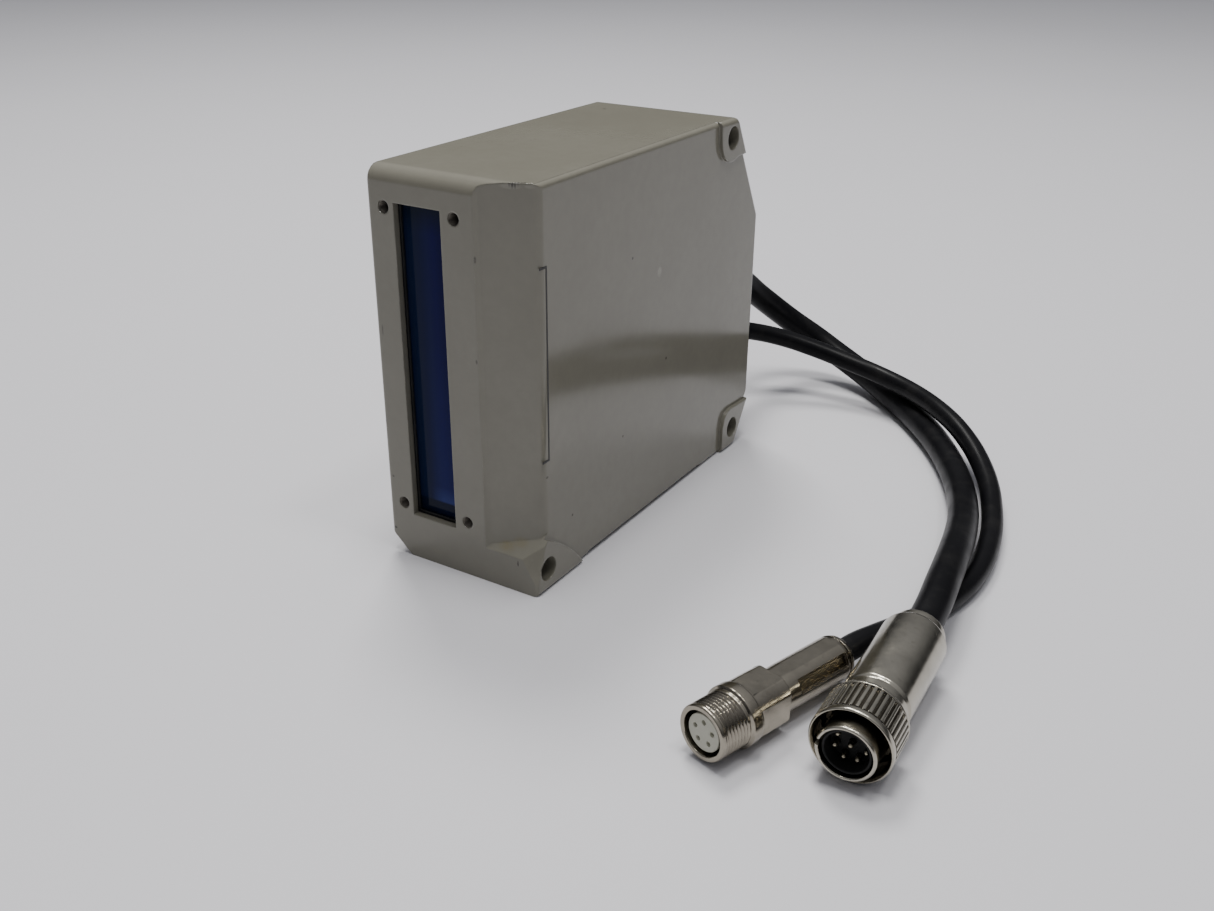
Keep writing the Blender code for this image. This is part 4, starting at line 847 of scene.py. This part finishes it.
def make_jack_barrel():
    """Threaded barrel, collar and a body with four wrench flats."""
    start, end = THREAD_STATIONS
    bore_r, fade_length = 5.0, 0.4

    def worked(angle, r, s):
        if r > bore_r and start < s < end:
            turn = (s / THREAD_PITCH - angle / (2 * math.pi)) % 1.0
            fade = min(1.0, (s - start) / fade_length, (end - s) / fade_length)
            return r - THREAD_DEPTH * fade * min(1.0, 2.2 * abs(turn - 0.5)) ** 0.9
        if r > bore_r and s > WRENCH_START:
            for quarter in range(4):
                r = flat_cut(angle, r, WRENCH_FLAT, quarter * math.pi / 2)
        return r

    outline = soften([(3.2, JACK_END), (5.35, JACK_END), (JACK_R, 16.85)], 0.08)
    outline += [(JACK_R, s) for s in (14.0, 11.0, 9.6, 9.5, 9.3)]
    outline += soften([(5.5, 9.2), (COLLAR_R, 8.9), (COLLAR_R, 6.9), (THREAD_R, 6.6),
                       (THREAD_R, 6.3)], 0.1)
    outline += [(THREAD_R, float(s)) for s in np.arange(end, start, -THREAD_PITCH / 10)]
    outline += soften([(THREAD_R, 0.6), (5.15, 0.25), (4.95, 0.0), (4.3, 0.0), (JACK_BORE_R, 0.15),
                       (JACK_BORE_R, 9.6), (3.2, 9.7)], 0.06)
    mesh = lathe("jack_barrel", outline, 192, worked, closed=True)
    return settle(shown("jack_barrel", mesh, NICKEL_PAINTED_SHADE, JACK), "jack_shell")


def make_jack_tube():
    """A turned sleeve with two long flats and two milled pockets."""
    start, end = POCKET_STATIONS

    def worked(angle, r, s):
        if r < 3.0:
            return r
        for half in range(2):
            r = flat_cut(angle, r, TUBE_FLAT, math.pi * (half + 0.5))
            if start < s < end:
                r = flat_cut(angle, r, POCKET_FLAT, math.pi * half + POCKET_TILT, POCKET_HALF_WIDTH)
        return r

    outline = soften([(0.0, TUBE_END), (3.3, TUBE_END), (4.0, 35.4), (TUBE_R, 34.4)], 0.3)
    outline += [(TUBE_R, s) for s in (33.55, 33.45, 31.0, 27.0, 23.0, 20.55, 20.45)]
    outline += soften([(TUBE_R, 17.5), (4.15, TUBE_START), (0.0, TUBE_START)], 0.1)
    mesh = lathe("jack_tube", outline, 192, worked)
    return settle(shown("jack_tube", mesh, NICKEL_PAINTED_SHADE, JACK), "jack_sleeve")


def make_jack_face():
    """The white insert with its countersunk sockets."""
    outline = soften([(0.0, FACE_END), (FACE_R, FACE_END), (FACE_R, 0.6), (3.4, FACE_STATION),
                      (0.0, FACE_STATION)], 0.1)
    face = shown("jack_face", lathe("jack_face", outline, 72), WHITE_PLASTIC)
    socket = [(0.0, 8.0), (SOCKET_R, 8.0), (SOCKET_R, 0.7), (0.52, 0.45), (0.52, -1.0), (0.0, -1.0)]
    for i in range(SOCKETS):
        angle = FIRST_SOCKET + i * 2 * math.pi / SOCKETS
        hole = lathe("hole", socket, 24)
        hole.transform(moved(SOCKET_CIRCLE_R * math.cos(angle), -SOCKET_CIRCLE_R * math.sin(angle)))
        combine(face, "DIFFERENCE", hole)
    face.data.transform(JACK)
    return settle(face, "jack_insert")


PLUG_PIECES = [make_nut(), make_plug_shell(), make_plug_cup(), *make_pins(), make_backshell(),
               make_clamp_ring()]
JACK_PIECES = [make_jack_barrel(), make_jack_tube(), make_jack_face()]
JACK_PIECES += [NODES[f"jack_contact_{i + 1}"] for i in range(SOCKETS)]


# ---- casting -------------------------------------------------------------------------------------
def make_casting(name, node, material):
    """The CAD solid welded, with its flat faces flat and its rounds smooth."""
    mesh = NODES[node].data.copy()
    mesh.materials.clear()
    made = bmesh.new()
    made.from_mesh(mesh)
    bmesh.ops.remove_doubles(made, verts=made.verts, dist=SAME_PLACE)
    bmesh.ops.dissolve_limit(made, angle_limit=math.radians(0.2), verts=made.verts, edges=made.edges)
    made.to_mesh(mesh)
    made.free()
    piece = shown(name, mesh, material)
    round_normals(mesh, 2.2 * MM, math.radians(38.0))
    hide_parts(node)
    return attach(piece, "head")


def round_normals(mesh, flat_width, corner):
    """Leaves wide faces flat and lets the narrow ones of a round blend into their neighbours.

    A neighbour across a corner sharper than the given angle takes no part in the blend.
    """
    mesh.shade_smooth()
    around = {}
    wide = []
    for face in mesh.polygons:
        corners = [mesh.vertices[i].co for i in face.vertices]
        reach = max((place - corners[0]).length for place in corners)
        wide.append(face.area > flat_width * reach)
        for i in face.vertices:
            around.setdefault(i, []).append(face)
    normals = [None] * len(mesh.loops)
    for face in mesh.polygons:
        for i in face.loop_indices:
            if wide[face.index]:
                normals[i] = face.normal.copy()
                continue
            blend = Vector()
            for other in around[mesh.loops[i].vertex_index]:
                if other.normal.dot(face.normal) > math.cos(corner):
                    blend += other.normal * other.area
            normals[i] = blend.normalized()
    mesh.normals_split_custom_set(normals)


def make_tapped_threads():
    """Dark threaded linings of the four tapped holes beside the window."""
    ridges = [(1.28 if k % 2 else 1.12, -0.25 - 0.17 * k) for k in range(24)]
    outline = [(1.33, -0.2), *ridges, (1.33, -4.3)]
    inwards = Matrix.Rotation(math.pi / 2, 4, "X")
    places = [(x, z) for x in TAPPED_X for z in TAPPED_Z]
    for i, (x, z) in enumerate(places, 1):
        place = Matrix.Translation((x * MM, FRONT_Y, z * MM)) @ inwards
        mesh = lathe("thread", outline, 40, closed=True)
        thread = shown(f"tapped_thread_{i}", mesh, THREAD_METAL, place)
        smooth(thread, 60.0)
        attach(thread, "head")


def make_cover_screws():
    """Countersunk screws with a crossed recess, flush in the cover."""
    outline = soften([(0.0, -0.1), (2.5, -0.1), (SCREW_HEAD_R, -0.3), (SCREW_R, -1.6),
                      (SCREW_R, -9.0), (0.9, SCREW_END), (0.0, SCREW_END)], 0.08)
    outer_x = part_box("side_cover")[0].x
    for i in range(1, COVER_SCREWS + 1):
        node = f"cover_screw_{i}"
        low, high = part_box(node)
        screw = shown(f"finished_screw_{i}", lathe("screw", outline, 48), STEEL)
        combine(screw, "DIFFERENCE", box_mesh((-1.4, -0.3, -1.0), (1.4, 0.3, 0.5)),
                box_mesh((-0.3, -1.4, -1.0), (0.3, 1.4, 0.5)))
        centre = (outer_x, (low.y + high.y) / 2, (low.z + high.z) / 2)
        screw.data.transform(Matrix.Translation(centre) @ Matrix.Rotation(-math.pi / 2, 4, "Y"))
        settle(screw, node)


make_casting("casting", "main_housing", PAINTED)
make_casting("casting_cover", "side_cover", PAINTED_COVER)
make_tapped_threads()
make_cover_screws()


# ---- printed scan bracket ------------------------------------------------------------------------
def make_scan_bracket():
    """A thin printed bracket that spans the scanned height on the side panel."""
    back = PANEL_X / MM - INK_DEPTH
    face = PANEL_X / MM + INK_HEIGHT
    half = BRACKET_LINE / 2
    y, low, high = BRACKET_Y, BRACKET_LOW, BRACKET_HIGH
    strokes = [box_mesh((back, y - half, low), (face, y + half, high)),
               box_mesh((back, y - BRACKET_TICK, low), (face, y, low + BRACKET_LINE)),
               box_mesh((back, y - BRACKET_TICK, high - BRACKET_LINE), (face, y, high))]
    mark = shown("scan_bracket", strokes[0], INK)
    combine(mark, "UNION", *strokes[1:])
    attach(mark, "head")


make_scan_bracket()
